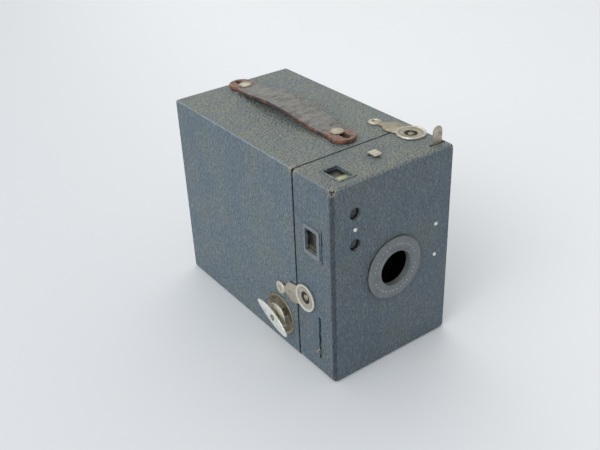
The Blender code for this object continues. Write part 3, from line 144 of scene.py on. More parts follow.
def arc(centre, radius, start, end, steps):
    """Points in mm on part of a circle, from one angle in degrees to another."""
    turns = [math.radians(start + (end - start) * i / steps) for i in range(steps + 1)]
    return [(centre[0] + radius * math.cos(t), centre[1] + radius * math.sin(t)) for t in turns]


def block(low, high):
    """A bmesh box between two corners in metres."""
    bm = bmesh.new()
    bmesh.ops.create_cube(bm, size=1)
    low, high = Vector(low), Vector(high)
    bmesh.ops.scale(bm, vec=high - low, verts=bm.verts)
    bmesh.ops.translate(bm, vec=(low + high) / 2, verts=bm.verts)
    return bm


def joined(*parts):
    """Puts several bmeshes into the first of them."""
    whole = parts[0]
    for part in parts[1:]:
        mesh = bpy.data.meshes.new("part")
        part.to_mesh(mesh)
        part.free()
        whole.from_mesh(mesh)
        bpy.data.meshes.remove(mesh)
    return whole


# %% Turn a bmesh into a finished piece
def finish_piece(name, bm, material, body=None, replaced=(), sharp=38, even=False):
    """Makes the object, gives it its finish, and ties it to a body of the frame."""
    mesh = bpy.data.meshes.new(name)
    bm.to_mesh(mesh)
    bm.free()
    mesh.shade_smooth()
    mesh.set_sharp_from_angle(angle=math.radians(sharp))
    for finish in material if isinstance(material, (list, tuple)) else [material]:
        mesh.materials.append(finish)
    piece = bpy.data.objects.new(name, mesh)
    bpy.context.scene.collection.objects.link(piece)
    if even:
        flat = piece.modifiers.new("even_shading", "WEIGHTED_NORMAL")
        flat.keep_sharp = True
    if body:
        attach(piece, body)
    if replaced:
        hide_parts(*replaced)
    print(name, len(mesh.polygons), "faces")
    return piece


def cutter(bm):
    """A helper object made from a bmesh. applied or cut_away removes it."""
    mesh = bpy.data.meshes.new("cutter")
    bm.to_mesh(mesh)
    bm.free()
    helper = bpy.data.objects.new("cutter", mesh)
    bpy.context.scene.collection.objects.link(helper)
    return helper


def applied(work):
    """Applies a helper object's modifiers, and gives back the result as a bmesh."""
    graph = bpy.context.evaluated_depsgraph_get()
    mesh = bpy.data.meshes.new_from_object(work.evaluated_get(graph))
    result = bmesh.new()
    result.from_mesh(mesh)
    bpy.data.objects.remove(work)
    bpy.data.meshes.remove(mesh)
    return result


def cut_away(bm, cutters):
    """Takes the cutters out of a bmesh with exact Booleans, and gives back the result."""
    work = cutter(bm)
    for helper in cutters:
        cut = work.modifiers.new("cut", "BOOLEAN")
        cut.object, cut.operation, cut.solver = helper, "DIFFERENCE", "EXACT"
    result = applied(work)
    for helper in cutters:
        bpy.data.objects.remove(helper)
    return result


def sliced(bm, axis, places):
    """Cuts new edges across a bmesh at places in metres along an axis, so that it can bend."""
    for place in places:
        bmesh.ops.bisect_plane(bm, geom=bm.verts[:] + bm.edges[:] + bm.faces[:],
                               dist=MERGE_REACH, plane_co=Vector(axis) * place, plane_no=axis)


def drill(place, out, radius, depth, steps=40):
    """A cutter for a round hole, reaching the same depth to both sides of a surface."""
    bm = bmesh.new()
    bmesh.ops.create_cone(bm, cap_ends=True, segments=steps, radius1=radius * MM,
                          radius2=radius * MM, depth=2 * depth * MM)
    bmesh.ops.transform(bm, matrix=facing(place, out), verts=bm.verts)
    return cutter(bm)


# %% [markdown]
# ## Small tools for materials
# A procedural material is a tree of nodes. These helpers add one node, or one
# sum, and link it in a single line, so that each finish below reads as a recipe.

# %% Node helpers
def put(tree, kind, inputs=None, **settings):
    """Adds a node. An input is a number, a colour, or a socket to link."""
    made = tree.nodes.new(kind)
    for key, value in settings.items():
        setattr(made, key, value)
    for socket, value in (inputs or {}).items():
        if isinstance(value, bpy.types.NodeSocket):
            tree.links.new(value, made.inputs[socket])
        else:
            made.inputs[socket].default_value = value
    return made


def calc(tree, operation, *values, clamp=False):
    """One sum on numbers."""
    return put(tree, "ShaderNodeMath", dict(enumerate(values)), operation=operation,
               use_clamp=clamp).outputs[0]


def blend_colour(tree, factor, first, second):
    """Mixes two colours by a mask."""
    made = put(tree, "ShaderNodeMix", data_type="RGBA")
    for index, value in ((0, factor), (6, first), (7, second)):
        if isinstance(value, bpy.types.NodeSocket):
            tree.links.new(value, made.inputs[index])
        elif index:
            made.inputs[index].default_value = (*value, 1)
        else:
            made.inputs[index].default_value = value
    return made.outputs[2]


def rescale(tree, value, low, high, to_low=0.0, to_high=1.0):
    """Stretches a range of a value to another, smoothly, and holds its ends."""
    return put(tree, "ShaderNodeMapRange", {0: value, 1: low, 2: high, 3: to_low, 4: to_high},
               interpolation_type="SMOOTHSTEP").outputs[0]


def cloud(tree, vector, size, detail=4.0, rough=0.6):
    """Noise whose patches are about the given size in metres."""
    return put(tree, "ShaderNodeTexNoise", {"Vector": vector, "Scale": 1 / size, "Detail": detail,
                                            "Roughness": rough}).outputs["Fac"]


def own_coordinates(tree):
    return put(tree, "ShaderNodeTexCoord").outputs["Object"]


def stretched(tree, vector, scale, turn=(0, 0, 0)):
    """A Mapping node that turns and stretches a pattern."""
    return put(tree, "ShaderNodeMapping", {"Vector": vector, "Rotation": turn,
                                           "Scale": scale}).outputs[0]


def times(tree, first, second, clamp=False):
    return calc(tree, "MULTIPLY", first, second, clamp=clamp)


def vector_calc(tree, operation, first, second):
    """One sum on vectors. A dot product gives a number."""
    made = put(tree, "ShaderNodeVectorMath", {0: first, 1: second}, operation=operation)
    return made.outputs["Value" if operation == "DOT_PRODUCT" else "Vector"]


def parts_of(tree, vector):
    """The X, Y and Z outputs of a vector."""
    return put(tree, "ShaderNodeSeparateXYZ", {0: vector}).outputs


def surface_normal(tree):
    return put(tree, "ShaderNodeNewGeometry").outputs["Normal"]


def either(tree, factor, first, second):
    """Mixes two numbers by a mask."""
    return put(tree, "ShaderNodeMix", {0: factor, 2: first, 3: second},
               data_type="FLOAT").outputs[0]


def new_finish(name):
    """A material with its Principled shader."""
    material = bpy.data.materials.new(name)
    material.use_nodes = True
    return material, material.node_tree, material.node_tree.nodes["Principled BSDF"]


def set_shader(tree, shader, **sockets):
    """Sets or links the shader's sockets. Underscores stand for spaces."""
    for key, value in sockets.items():
        socket = shader.inputs[key.replace("_", " ")]
        if isinstance(value, bpy.types.NodeSocket):
            tree.links.new(value, socket)
        else:
            socket.default_value = value


def bump(tree, height, distance, strength=1.0):
    """Turns a height between 0 and 1 into a normal. The distance is in mm."""
    return put(tree, "ShaderNodeBump", {"Height": height, "Distance": distance * MM,
                                        "Strength": strength}).outputs[0]


def new_group(name, inputs, outputs):
    """A shader node group with named sockets, and its two end nodes."""
    group = bpy.data.node_groups.new(name, "ShaderNodeTree")
    for way, sockets in (("INPUT", inputs), ("OUTPUT", outputs)):
        for socket, kind in sockets:
            group.interface.new_socket(socket, in_out=way, socket_type="NodeSocket" + kind)
    start = group.nodes.new("NodeGroupInput")
    end = group.nodes.new("NodeGroupOutput")
    return group, start.outputs, end.inputs


def use_group(tree, group, inputs):
    made = tree.nodes.new("ShaderNodeGroup")
    made.node_tree = group
    for socket, value in inputs.items():
        if isinstance(value, bpy.types.NodeSocket):
            tree.links.new(value, made.inputs[socket])
        else:
            made.inputs[socket].default_value = value
    return made.outputs


# %% [markdown]
# ## Effects that several finishes share
# Pebbled grain, rubbed edges, patchy tarnish and settled dust appear on more than
# one material, so each is a node group. A group gives out masks and heights only,
# and each material decides what colour and roughness they stand for.

# %% Pebbled grain: soft cells, bent by noise so that they look like worms
grain_group, given, result = new_group(
    "pebbled_grain", [("Vector", "Vector"), ("Cell", "Float")],
    [("Height", "Float"), ("Hollows", "Float"), ("Mottle", "Float")])
_scale = calc(grain_group, "DIVIDE", 1.0, given["Cell"])
_bend = put(grain_group, "ShaderNodeTexNoise", {"Vector": given["Vector"],
            "Scale": times(grain_group, _scale, 0.55), "Detail": 2.0})
_offset = vector_calc(grain_group, "SUBTRACT", _bend.outputs["Color"], (0.5, 0.5, 0.5))
_bent = put(grain_group, "ShaderNodeVectorMath", {0: _offset, "Scale": calc(
            grain_group, "MULTIPLY", given["Cell"], 1.6)}, operation="SCALE").outputs[0]
_place = vector_calc(grain_group, "ADD", given["Vector"], _bent)
_cells = put(grain_group, "ShaderNodeTexVoronoi", {"Vector": _place, "Scale": _scale,
             "Smoothness": 0.35}, feature="SMOOTH_F1").outputs["Distance"]
_fine = put(grain_group, "ShaderNodeTexNoise", {"Vector": given["Vector"],
            "Scale": times(grain_group, _scale, 2.2), "Detail": 3.0}).outputs["Fac"]
_domes = rescale(grain_group, _cells, 0.15, 0.75, 1.0, 0.0)
_height = calc(grain_group, "ADD", times(grain_group, _domes, 0.75),
               times(grain_group, _fine, 0.35))
grain_group.links.new(_height, result["Height"])
grain_group.links.new(rescale(grain_group, _height, 0.62, 0.25), result["Hollows"])
_wide = put(grain_group, "ShaderNodeTexNoise", {"Vector": given["Vector"],
            "Scale": times(grain_group, _scale, 0.09), "Detail": 5.0,
            "Roughness": 0.65}).outputs["Fac"]
grain_group.links.new(rescale(grain_group, _wide, 0.35, 0.68), result["Mottle"])
print("group", grain_group.name, len(grain_group.nodes), "nodes")

# %% Rubbed edges of a box: near two faces at once is an edge, near three a corner
edge_group, given, result = new_group(
    "rubbed_box_edges", [("Vector", "Vector"), ("Low", "Vector"), ("High", "Vector"),
                         ("Reach", "Float"), ("Ragged", "Float")],
    [("Edge", "Float"), ("Corner", "Float")])
_from_low = vector_calc(edge_group, "SUBTRACT", given["Vector"], given["Low"])
_from_high = vector_calc(edge_group, "SUBTRACT", given["High"], given["Vector"])
_near = vector_calc(edge_group, "MINIMUM", _from_low, _from_high)
_x, _y, _z = parts_of(edge_group, _near)
_less = calc(edge_group, "MINIMUM", _x, _y)
_more = calc(edge_group, "MAXIMUM", _x, _y)
_second = calc(edge_group, "MAXIMUM", _less, calc(edge_group, "MINIMUM", _more, _z))
_third = calc(edge_group, "MAXIMUM", _more, _z)
_noise = cloud(edge_group, given["Vector"], 7 * MM, 5, 0.7)
_shift = times(edge_group, calc(edge_group, "SUBTRACT", _noise, 0.5), given["Ragged"])
for _name, _far, _wide in (("Edge", _second, 1.0), ("Corner", _third, 2.2)):
    _moved = calc(edge_group, "ADD", _far, _shift)
    _limit = times(edge_group, given["Reach"], _wide)
    edge_group.links.new(rescale(edge_group, _moved, _limit, 0.0), result[_name])

# %% Tarnish, hairline scratches and a bright edge for plated and bare metal
metal_group, given, result = new_group(
    "handled_metal", [("Vector", "Vector"), ("Patch", "Float"), ("Edge Radius", "Float")],
    [("Tarnish", "Float"), ("Scratches", "Float"), ("Edge", "Float"), ("Specks", "Float")])
_scale = calc(metal_group, "DIVIDE", 1.0, given["Patch"])
_patches = put(metal_group, "ShaderNodeTexNoise", {"Vector": given["Vector"], "Scale": _scale,
               "Detail": 6.0, "Roughness": 0.68}).outputs["Fac"]
metal_group.links.new(rescale(metal_group, _patches, 0.38, 0.66), result["Tarnish"])
_lines = []
for _turn in ((0.4, 0.9, 0.2), (1.9, 0.3, 1.1)):
    _drawn = stretched(metal_group, given["Vector"], (60, 1400, 1400), _turn)
    _lines.append(put(metal_group, "ShaderNodeTexNoise", {"Vector": _drawn, "Scale": 6.0,
                      "Detail": 1.0}).outputs["Fac"])
_scratched = rescale(metal_group, calc(metal_group, "MAXIMUM", *_lines), 0.62, 0.8)
metal_group.links.new(_scratched, result["Scratches"])
_round = put(metal_group, "ShaderNodeBevel", {"Radius": given["Edge Radius"]},
             samples=4).outputs[0]
_alike = vector_calc(metal_group, "DOT_PRODUCT", _round, surface_normal(metal_group))
metal_group.links.new(rescale(metal_group, _alike, 0.985, 0.86), result["Edge"])
_dots = put(metal_group, "ShaderNodeTexVoronoi", {"Vector": given["Vector"], "Scale": calc(
            metal_group, "MULTIPLY", _scale, 5.0)}).outputs["Distance"]
metal_group.links.new(rescale(metal_group, _dots, 0.2, 0.08), result["Specks"])

# %% Dust lies where a surface looks up
dust_group, given, result = new_group(
    "settled_dust", [("Vector", "Vector"), ("Amount", "Float")], [("Dust", "Float")])
_upward = parts_of(dust_group, surface_normal(dust_group))[2]
_lying = rescale(dust_group, _upward, 0.35, 0.98)
_thick = rescale(dust_group, cloud(dust_group, given["Vector"], 14 * MM, 6, 0.7), 0.25, 0.75, 0.35)
dust_group.links.new(times(dust_group, times(dust_group, _lying, _thick),
                          given["Amount"], clamp=True), result["Dust"])
print("groups ready:", [group.name for group in bpy.data.node_groups])

# %% [markdown]
# ## Leatherette
# The body is wooden and card board work covered in leatherette, which is cloth
# coated with cellulose and pressed with a pebbled grain. A century of handling
# has turned the black a cloudy slate, greyer on top where dust works in, with
# pale blue lines on the rubbed edges and the tan board showing at a corner. On
# the upper left edges these pale lines are also a painted highlight, the upright
# edges are painted with shade, and the grain's hollows are painted darker as
# shade. The grain runs upright, so the pattern is drawn out along the height.

# %% Leatherette for a box between two corners
SLATE, HOLLOW_SHADE_SLATE = (0.112, 0.152, 0.186), (0.050, 0.067, 0.088)
OLIVE_GREY, RUBBED_BLUE_AND_HIGHLIGHT = (0.138, 0.170, 0.174), (0.36, 0.44, 0.50)
BOARD_TAN, DUST = (0.42, 0.34, 0.24), (0.33, 0.315, 0.205)
SEAM_DIRT, FOLD_SHADE = (0.012, 0.014, 0.018), (0.040, 0.050, 0.066)


def leatherette(name, low, high, reach, seam, away, fade):
    """The covering on one box. Away is the way from the seam, 1 for the rear case."""
    slate, grey = (tuple(fade * part for part in tone) for tone in (SLATE, OLIVE_GREY))
    material, tree, shader = new_finish(name)
    place = own_coordinates(tree)
    normal = parts_of(tree, surface_normal(tree))
    lying = rescale(tree, normal[2], 0.6, 0.9)
    grain = use_group(tree, grain_group, {
        "Vector": stretched(tree, place, (1, 1, 0.5)), "Cell": 1.3 * MM})
    coarse = use_group(tree, grain_group, {"Vector": place, "Cell": 1.7 * MM})
    relief, hollows = (either(tree, lying, grain[name], coarse[name])
                       for name in ("Height", "Hollows"))
    beyond = Vector((0, -away * 30 * MM, 0))
    corners = {"Low": low + (beyond if away > 0 else Vector()),
               "High": high + (beyond if away < 0 else Vector())}
    rubbed = use_group(tree, edge_group, {"Vector": place, "Reach": reach * MM,
                                          "Ragged": 1.1 * MM, **corners})
    whole = use_group(tree, edge_group, {"Vector": place, "Reach": 2.2 * MM, "Low": low,
                                         "High": high, "Ragged": 1.6 * MM})
    dust = use_group(tree, dust_group, {"Vector": place, "Amount": 0.55})
    wide = rescale(tree, cloud(tree, place, 24 * MM, 5, 0.6), 0.36, 0.66)
    streaks = rescale(tree, cloud(tree, stretched(tree, place, (1, 1, 0.22)), 2.4 * MM, 4, 0.65),
                      0.35, 0.72)
    colour = blend_colour(tree, wide, slate, grey)
    colour = blend_colour(tree, times(tree, streaks, 0.3), colour,
                          (0.168, 0.222, 0.262))
    colour = blend_colour(tree, dust["Dust"], colour, DUST)
    # Painted shade: the grain's hollows are darkened as if shade lies in them.
    colour = blend_colour(tree, times(tree, hollows, rescale(
        tree, lying, 0, 1, 0.34, 0.3)), colour, HOLLOW_SHADE_SLATE)
    across, along, upward = parts_of(tree, place)
    high_up = rescale(tree, upward, high.z * 0.78, high.z, 0.14, 1.0)
    left_side = rescale(tree, across, low.x * 0.6, low.x * 0.9, 0.35, 1.0)
    # The rubbed pale blue is kept to the upper edges on the left that face up: it is partly real
    # wear and partly a painted highlight.
    worn = times(tree, times(tree, rubbed["Edge"], high_up), left_side)
    worn = times(tree, worn, rescale(tree, normal[2], 0.12, 0.4))
    # Painted shade: upright edges whose normal points between the front and the side are darkened
    # as if in shade.
    upright_edge_shade = rescale(tree, calc(tree, "ABSOLUTE", calc(
        tree, "MULTIPLY", normal[0], normal[1])), 0.06, 0.4)
    upright_edge_shade = times(tree, upright_edge_shade, calc(
        tree, "SUBTRACT", 1.0, whole["Corner"]), clamp=True)
    colour = blend_colour(tree, times(tree, upright_edge_shade, 0.85), colour, FOLD_SHADE)
    colour = blend_colour(tree, times(tree, worn, 0.85), colour, RUBBED_BLUE_AND_HIGHLIGHT)
    bare = times(tree, whole["Corner"], rescale(
        tree, cloud(tree, place, 1.6 * MM, 4, 0.7), 0.40, 0.56))
    bare = times(tree, bare, high_up)
    colour = blend_colour(tree, bare, colour, BOARD_TAN)
    from_seam = times(tree, calc(tree, "SUBTRACT", along, seam), away)
    dirt = times(tree, rescale(tree, from_seam, 0.8 * MM, 0.15 * MM),
                rescale(tree, lying, 0, 1, 1.0, 0.35))
    colour = blend_colour(tree, dirt, colour, SEAM_DIRT)
    rough = calc(tree, "ADD", times(tree, hollows, 0.18), rescale(
        tree, streaks, 0, 1, 0.50, 0.40))
    uneven = calc(tree, "ADD", times(tree, relief, 0.8),
                  times(tree, cloud(tree, place, 9 * MM, 3), 1.2))
    set_shader(tree, shader, Base_Color=colour, Roughness=rough, Specular_IOR_Level=0.5,
               Normal=bump(tree, uneven, 1.7, 1.0))
    return material


# fade scales the covering's colour: the case's covering is made lighter than the front's.
front_covering = leatherette("front_leatherette", front_low, front_high, 1.3, seam_y, -1, 1.10)
case_covering = leatherette("case_leatherette", case_low, case_high, 1.1, case_low.y, 1,
                            1.26)

# %% [markdown]
# ## Black card, black japan and grey paint
# Inside, everything is blackened so that no stray light reaches the film. Card
# is dead matt with a fibrous surface. Sheet steel is dipped in black japan,
# which is smooth, a little wavy, and chips to bare steel on its edges.

# %% Card
def black_card():
    material, tree, shader = new_finish("matt_black_card")
    place = own_coordinates(tree)
    fibres = cloud(tree, stretched(tree, place, (1, 1, 0.35)), 0.8 * MM, 5, 0.75)
    worn = rescale(tree, cloud(tree, place, 18 * MM, 6, 0.7), 0.5, 0.75)
    colour = blend_colour(tree, fibres, (0.006, 0.006, 0.007), (0.022, 0.021, 0.020))
    colour = blend_colour(tree, times(tree, worn, 0.45), colour, (0.055, 0.05, 0.045))
    set_shader(tree, shader, Base_Color=colour, Roughness=rescale(tree, fibres, 0, 1, 0.8, 0.95),
               Normal=bump(tree, fibres, 0.12, 0.6))
    return material


card = black_card()


# %% Paint: one recipe, with values for each painted part
def painted(name, dark, light, chipped, rough, chips=0.8, wave=0.05, patch=9.0):
    """Paint on metal, thin and pale where it is rubbed, with chips on its edges."""
    material, tree, shader = new_finish(name)
    place = own_coordinates(tree)
    worn = use_group(tree, metal_group, {"Vector": place, "Patch": patch * MM,
                                         "Edge Radius": 0.3 * MM})
    chip = times(tree, worn["Edge"], rescale(
        tree, cloud(tree, place, 1.6 * MM, 5, 0.75), 0.42, 0.58))
    chip = times(tree, chip, chips, clamp=True)
    colour = blend_colour(tree, worn["Tarnish"], dark, light)
    colour = blend_colour(tree, times(tree, worn["Scratches"], 0.3), colour, chipped)
    colour = blend_colour(tree, chip, colour, chipped)
    dust = use_group(tree, dust_group, {"Vector": place, "Amount": 0.25})
    colour = blend_colour(tree, dust["Dust"], colour, DUST)
    height = calc(tree, "ADD", cloud(tree, place, 1.2 * MM, 3),
                  times(tree, worn["Specks"], -0.3))
    set_shader(tree, shader, Base_Color=colour, Metallic=times(tree, chip, 0.8),
               Roughness=rescale(tree, worn["Tarnish"], 0, 1, rough, rough + 0.16),
               Normal=bump(tree, height, wave, 0.6))
    return material


japan = painted("black_japan", (0.010, 0.010, 0.011), (0.028, 0.026, 0.025),
                (0.42, 0.40, 0.36), 0.28)
lens_paint = painted("grey_lens_paint", (0.125, 0.146, 0.158), (0.180, 0.198, 0.198),
                     (0.40, 0.42, 0.42), 0.42, 0.55, 0.08, 4.0)
mark_paint = painted("pale_mark_paint", (0.40, 0.42, 0.41), (0.52, 0.54, 0.52),
                     (0.5, 0.5, 0.48), 0.5, 0.4, 0.04, 2.0)
finder_paint = painted("slate_finder_frame", (0.125, 0.155, 0.178), (0.175, 0.200, 0.215),
                       (0.62, 0.58, 0.55), 0.40, 1.0, 0.06, 3.0)


# %% [markdown]
# ## Nickel plate and bare steel
# The key, catches and studs are nickel-plated brass or steel. Fingers keep the
# high spots bright, while the flats turn a warm beige and the corners hold brown
# dirt. Tarnish both darkens the metal and makes it rougher.

# %% Metal
SCRATCH_DEPTH = 0.5
BROWN_DIRT, GREY_GRIME = (0.11, 0.085, 0.055), (0.19, 0.16, 0.09)


def metal(name, bright, dull, deep, rough, patch=6.0, stain=0.75):
    """Handled metal: bright rubbed edges, dull warm flats, and dark stains."""
    material, tree, shader = new_finish(name)
    place = own_coordinates(tree)
    worn = use_group(tree, metal_group, {"Vector": place, "Patch": patch * MM,
                                         "Edge Radius": 0.45 * MM})
    stains = rescale(tree, cloud(tree, place, 2.6 * MM, 6, 0.72), 0.56, 0.74)
    colour = blend_colour(tree, times(tree, worn["Tarnish"], stain), bright, dull)
    colour = blend_colour(tree, times(tree, stains, 0.7), colour, deep)
    colour = blend_colour(tree, times(tree, worn["Specks"], 0.25), colour, deep)
    colour = blend_colour(tree, times(tree, worn["Edge"], 0.75), colour, bright)
    dull_rough = calc(tree, "ADD", times(tree, worn["Tarnish"], 0.16),
                      times(tree, stains, 0.2))
    height = calc(tree, "SUBTRACT", cloud(tree, place, 0.9 * MM, 4),
                  times(tree, worn["Scratches"], SCRATCH_DEPTH))
    grime = use_group(tree, dust_group, {"Vector": place, "Amount": 0.8})["Dust"]
    colour = blend_colour(tree, grime, colour, GREY_GRIME)
    stains = calc(tree, "MAXIMUM", stains, grime)
    dulled = calc(tree, "MAXIMUM", stains, times(tree, worn["Tarnish"], stain))
    set_shader(tree, shader, Base_Color=colour, Metallic=rescale(tree, dulled, 0, 1, 1.0, 0.5),
               Roughness=calc(tree, "ADD", dull_rough, rough),
               Normal=bump(tree, height, 0.08, 0.6))
    return material


nickel = metal("dulled_nickel", (0.62, 0.59, 0.52), (0.33, 0.30, 0.235), BROWN_DIRT, 0.34)
bright_nickel = metal("bright_nickel", (0.98, 0.985, 0.97), (0.62, 0.62, 0.52), BROWN_DIRT, 0.3,
                      3.5, 0.7)
catch_nickel = metal("beige_nickel", (0.57, 0.52, 0.44), (0.34, 0.295, 0.235),
                     (0.13, 0.10, 0.07), 0.42, 4.0, 0.9)
# A dark olive copy of the nickel. On the key's dish it is partly tarnish and partly painted shade
# in the bowl; on the catch studs it is painted shade, for the shade inside their rings.
olive_and_shade_nickel = metal("olive_nickel_and_shade", (0.42, 0.385, 0.28), (0.175, 0.148, 0.088),
                    (0.10, 0.08, 0.048), 0.42, 6.0, 0.95)
cream_nickel = metal("cream_nickel", (0.70, 0.65, 0.56), (0.47, 0.425, 0.34), BROWN_DIRT, 0.4,
                     2.5, 0.7)
rim_nickel = metal("rubbed_rim_nickel", (0.84, 0.83, 0.78), (0.56, 0.53, 0.44), BROWN_DIRT, 0.32,
                   2.5, 0.6)
steel = metal("bare_steel", (0.56, 0.56, 0.55), (0.34, 0.33, 0.31), (0.10, 0.07, 0.05), 0.3)


# %% [markdown]
# ## Glass, mirror, film and wood
# The lens is clear. The finders' small lenses have a dark tint here, because the
# real ones look into closed, unlit boxes. The viewing glasses are ground, and have
# yellowed on top and browned at the side. The small round window on the back is
# deep red so that it can't fog the film. The spool is turned wood with a brown
# varnish.

# %% Glass and mirror
def glass(name, tint, rough, clear, grime_share=0.0, shade=None):
    """Clear or ground glass. Shade is (axis, start, end, colour): painted shade that darkens the
    glass past start along the axis.
    """
    material, tree, shader = new_finish(name)
    place = own_coordinates(tree)
    grime = cloud(tree, place, 2.0 * MM, 5, 0.7)
    colour = blend_colour(tree, rescale(tree, grime, 0.45, 0.8, 0, grime_share), tint,
                          tuple(0.5 * part for part in tint))
    if shade:
        axis, start, end, dark = shade
        along = parts_of(tree, place)[axis]
        ragged = times(tree, calc(tree, "SUBTRACT", grime, 0.5), 2.5 * MM)
        unlit = rescale(tree, calc(tree, "ADD", along, ragged), start, end)
        colour = blend_colour(tree, unlit, colour, dark)
    set_shader(tree, shader, Base_Color=colour, Roughness=rescale(
        tree, grime, 0.4, 0.8, rough, rough + 0.4 * grime_share), IOR=1.5, Metallic=0.0,
        Normal=bump(tree, grime, 0.002, 0.2), Transmission_Weight=clear)
    return material


def silvering():
    material, tree, shader = new_finish("silvered_mirror")
    place = own_coordinates(tree)
    spots = rescale(tree, cloud(tree, place, 2.2 * MM, 6, 0.75), 0.52, 0.7)
    set_shader(tree, shader, Base_Color=blend_colour(tree, spots, (0.82, 0.83, 0.8),
                                                     (0.22, 0.19, 0.13)),
               Metallic=1.0, Roughness=rescale(tree, spots, 0, 1, 0.05, 0.4))
    return material


def turned_wood():
    """Rings across the spool's length, with the dark japanned ends."""
    material, tree, shader = new_finish("varnished_spool_wood")
    place = own_coordinates(tree)
    low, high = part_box("take_up_spool")
    along = stretched(tree, place, (0.12, 1, 1))
    rings = cloud(tree, along, 1.1 * MM, 5, 0.65)
    colour = blend_colour(tree, rescale(tree, rings, 0.3, 0.7), (0.13, 0.062, 0.024),
                          (0.36, 0.20, 0.085))
    reach = calc(tree, "ABSOLUTE", parts_of(tree, place)[0])
    at_end = rescale(tree, reach, high.x - 1.3 * MM, high.x - 1.1 * MM)
    colour = blend_colour(tree, at_end, colour, (0.014, 0.013, 0.013))
    set_shader(tree, shader, Base_Color=colour, Coat_Weight=rescale(tree, at_end, 0, 1, 0.5, 0.1),
               Roughness=rescale(tree, rings, 0.3, 0.7, 0.42, 0.55),
               Normal=bump(tree, rings, 0.06, 0.5))
    return material


lens_glass = glass("clear_lens_glass", (0.90, 0.93, 0.92), 0.02, 0.95)
# Painted shade: the top glass is darkened toward the rear, and the side glass above its lowest
# part, for the shade inside each finder.
top_screen = glass("yellowed_top_screen", (0.40, 0.42, 0.23), 0.3, 0.0, 0.4,
                   (1, middle_of("finder_glass_top").y - 1.2 * MM,
                    middle_of("finder_glass_top").y + 1.2 * MM, (0.035, 0.032, 0.022)))
side_screen = glass("browned_side_screen", (0.110, 0.110, 0.080), 0.25, 0.0, 0.4,
                    (2, middle_of("finder_glass_side").z - 6.0 * MM,
                     middle_of("finder_glass_side").z - 3.6 * MM, (0.020, 0.014, 0.012)))
finder_lens_glass = glass("shaded_finder_lens", (0.10, 0.10, 0.13), 0.02, 0.9)
red_film = glass("red_window_film", (0.48, 0.02, 0.012), 0.12, 0.6, 0.3)
mirror, spool_wood = silvering(), turned_wood()
print("finishes:", len(bpy.data.materials))

# %% [markdown]
# ## The two halves of the body
# The body is two boxes that meet at a seam: the front section, which carries the
# lens, and the rear case that it pulls out of. Each could be a plain box with a
# texture. Here each starts as a cube whose outer edges are bevelled to the soft
# folds of the covering, loses the face at the seam, and gets walls, so that it
# is truly hollow when the camera is open.

# %% A hollow box with rounded edges
FOLD_STEPS, LIP_STEPS, BODY_SLICES = 5, 3, 6


def hollow_box(low, high, seam, radius, lip_radius, wall):
    """A box between two corners, open at the plane y = seam, with walls inward. Sizes in mm."""
    bm = block(low, high)
    open_face = min(bm.faces, key=lambda face: abs(face.calc_center_median().y - seam))
    rim = set(open_face.edges)
    folds = [edge for edge in bm.edges if edge not in rim]
    bmesh.ops.bevel(bm, geom=folds, offset=radius * MM, segments=FOLD_STEPS, profile=0.5,
                    affect="EDGES", material=-1)
    close = 10 * MERGE_REACH
    mouth = [face for face in bm.faces if abs(face.normal.y) > 0.99
             and abs(face.calc_center_median().y - seam) < close]
    bmesh.ops.delete(bm, geom=mouth, context="FACES")
    deep = high.y - low.y
    sliced(bm, REAR, [low.y + deep * step / BODY_SLICES for step in range(1, BODY_SLICES)])
    bmesh.ops.recalc_face_normals(bm, faces=bm.faces)
    work = cutter(bm)
    thick = work.modifiers.new("wall", "SOLIDIFY")
    thick.thickness, thick.offset, thick.use_even_offset = wall * MM, -1, True
    shell = applied(work)
    middle, inner = (low + high) / 2, wall * MM / 2
    for face in shell.faces:
        centre = face.calc_center_median()
        inside = [min(at - start, end - at) > inner for at, start, end in zip(centre, low, high)]
        outward = face.normal.dot(centre - middle) > 0
        face.material_index = int(inside[0] and inside[2] and (inside[1] or not outward))
    lip = [edge for edge in shell.edges if len(edge.link_faces) == 2
           and all(abs(vert.co.y - seam) < close for vert in edge.verts)
           and edge.calc_face_angle() > 1.0]
    bmesh.ops.bevel(shell, geom=lip, offset=lip_radius * MM, segments=LIP_STEPS, profile=0.5,
                    affect="EDGES", material=-1, clamp_overlap=True)
    return shell


# %% The front section, with every hole that the works need
FRONT_FOLD, FRONT_WALL, CASE_FOLD, CASE_WALL, LIP = 2.7, 1.7, 1.6, 2.0, 0.9
WINDOW_PLAY = 1.0  # the glass reaches this far behind the covering on each side
GROOVE_FROM_FRONT, GROOVE_HALF, GROOVE_DEPTH = 9.4, 0.5, 0.9
top_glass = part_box("finder_glass_top")
side_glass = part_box("finder_glass_side")
edge = WINDOW_PLAY * MM
lever_low, lever_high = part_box("shutter_lever")
tab_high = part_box("stop_slide")[1]

front_cuts = [drill((lens_axis.x, front_y, lens_axis.z), FRONT, 11.6, 4, 56)]
for finder_lens in ("finder_lens_top", "finder_lens_side"):
    spot = middle_of(finder_lens)
    front_cuts.append(drill((spot.x, front_y, spot.z), FRONT, 3.75, 3, 32))
front_cuts.append(cutter(block(
    (top_glass[0].x + edge, top_glass[0].y + edge, top_z - 3 * MM),
    (top_glass[1].x - edge, top_glass[1].y - edge, top_z + 3 * MM))))
front_cuts.append(cutter(block(
    (-side_x - 3 * MM, side_glass[0].y + edge, side_glass[0].z + edge),
    (-side_x + 3 * MM, side_glass[1].y - edge, side_glass[1].z - edge))))
front_cuts.append(cutter(block(
    (-side_x - 3 * MM, lever_low.y - 0.55 * MM, lever_low.z - 0.9 * MM),
    (-side_x + 3 * MM, lever_high.y + 0.55 * MM, 41 * MM))))
groove_y = front_y + GROOVE_FROM_FRONT * MM
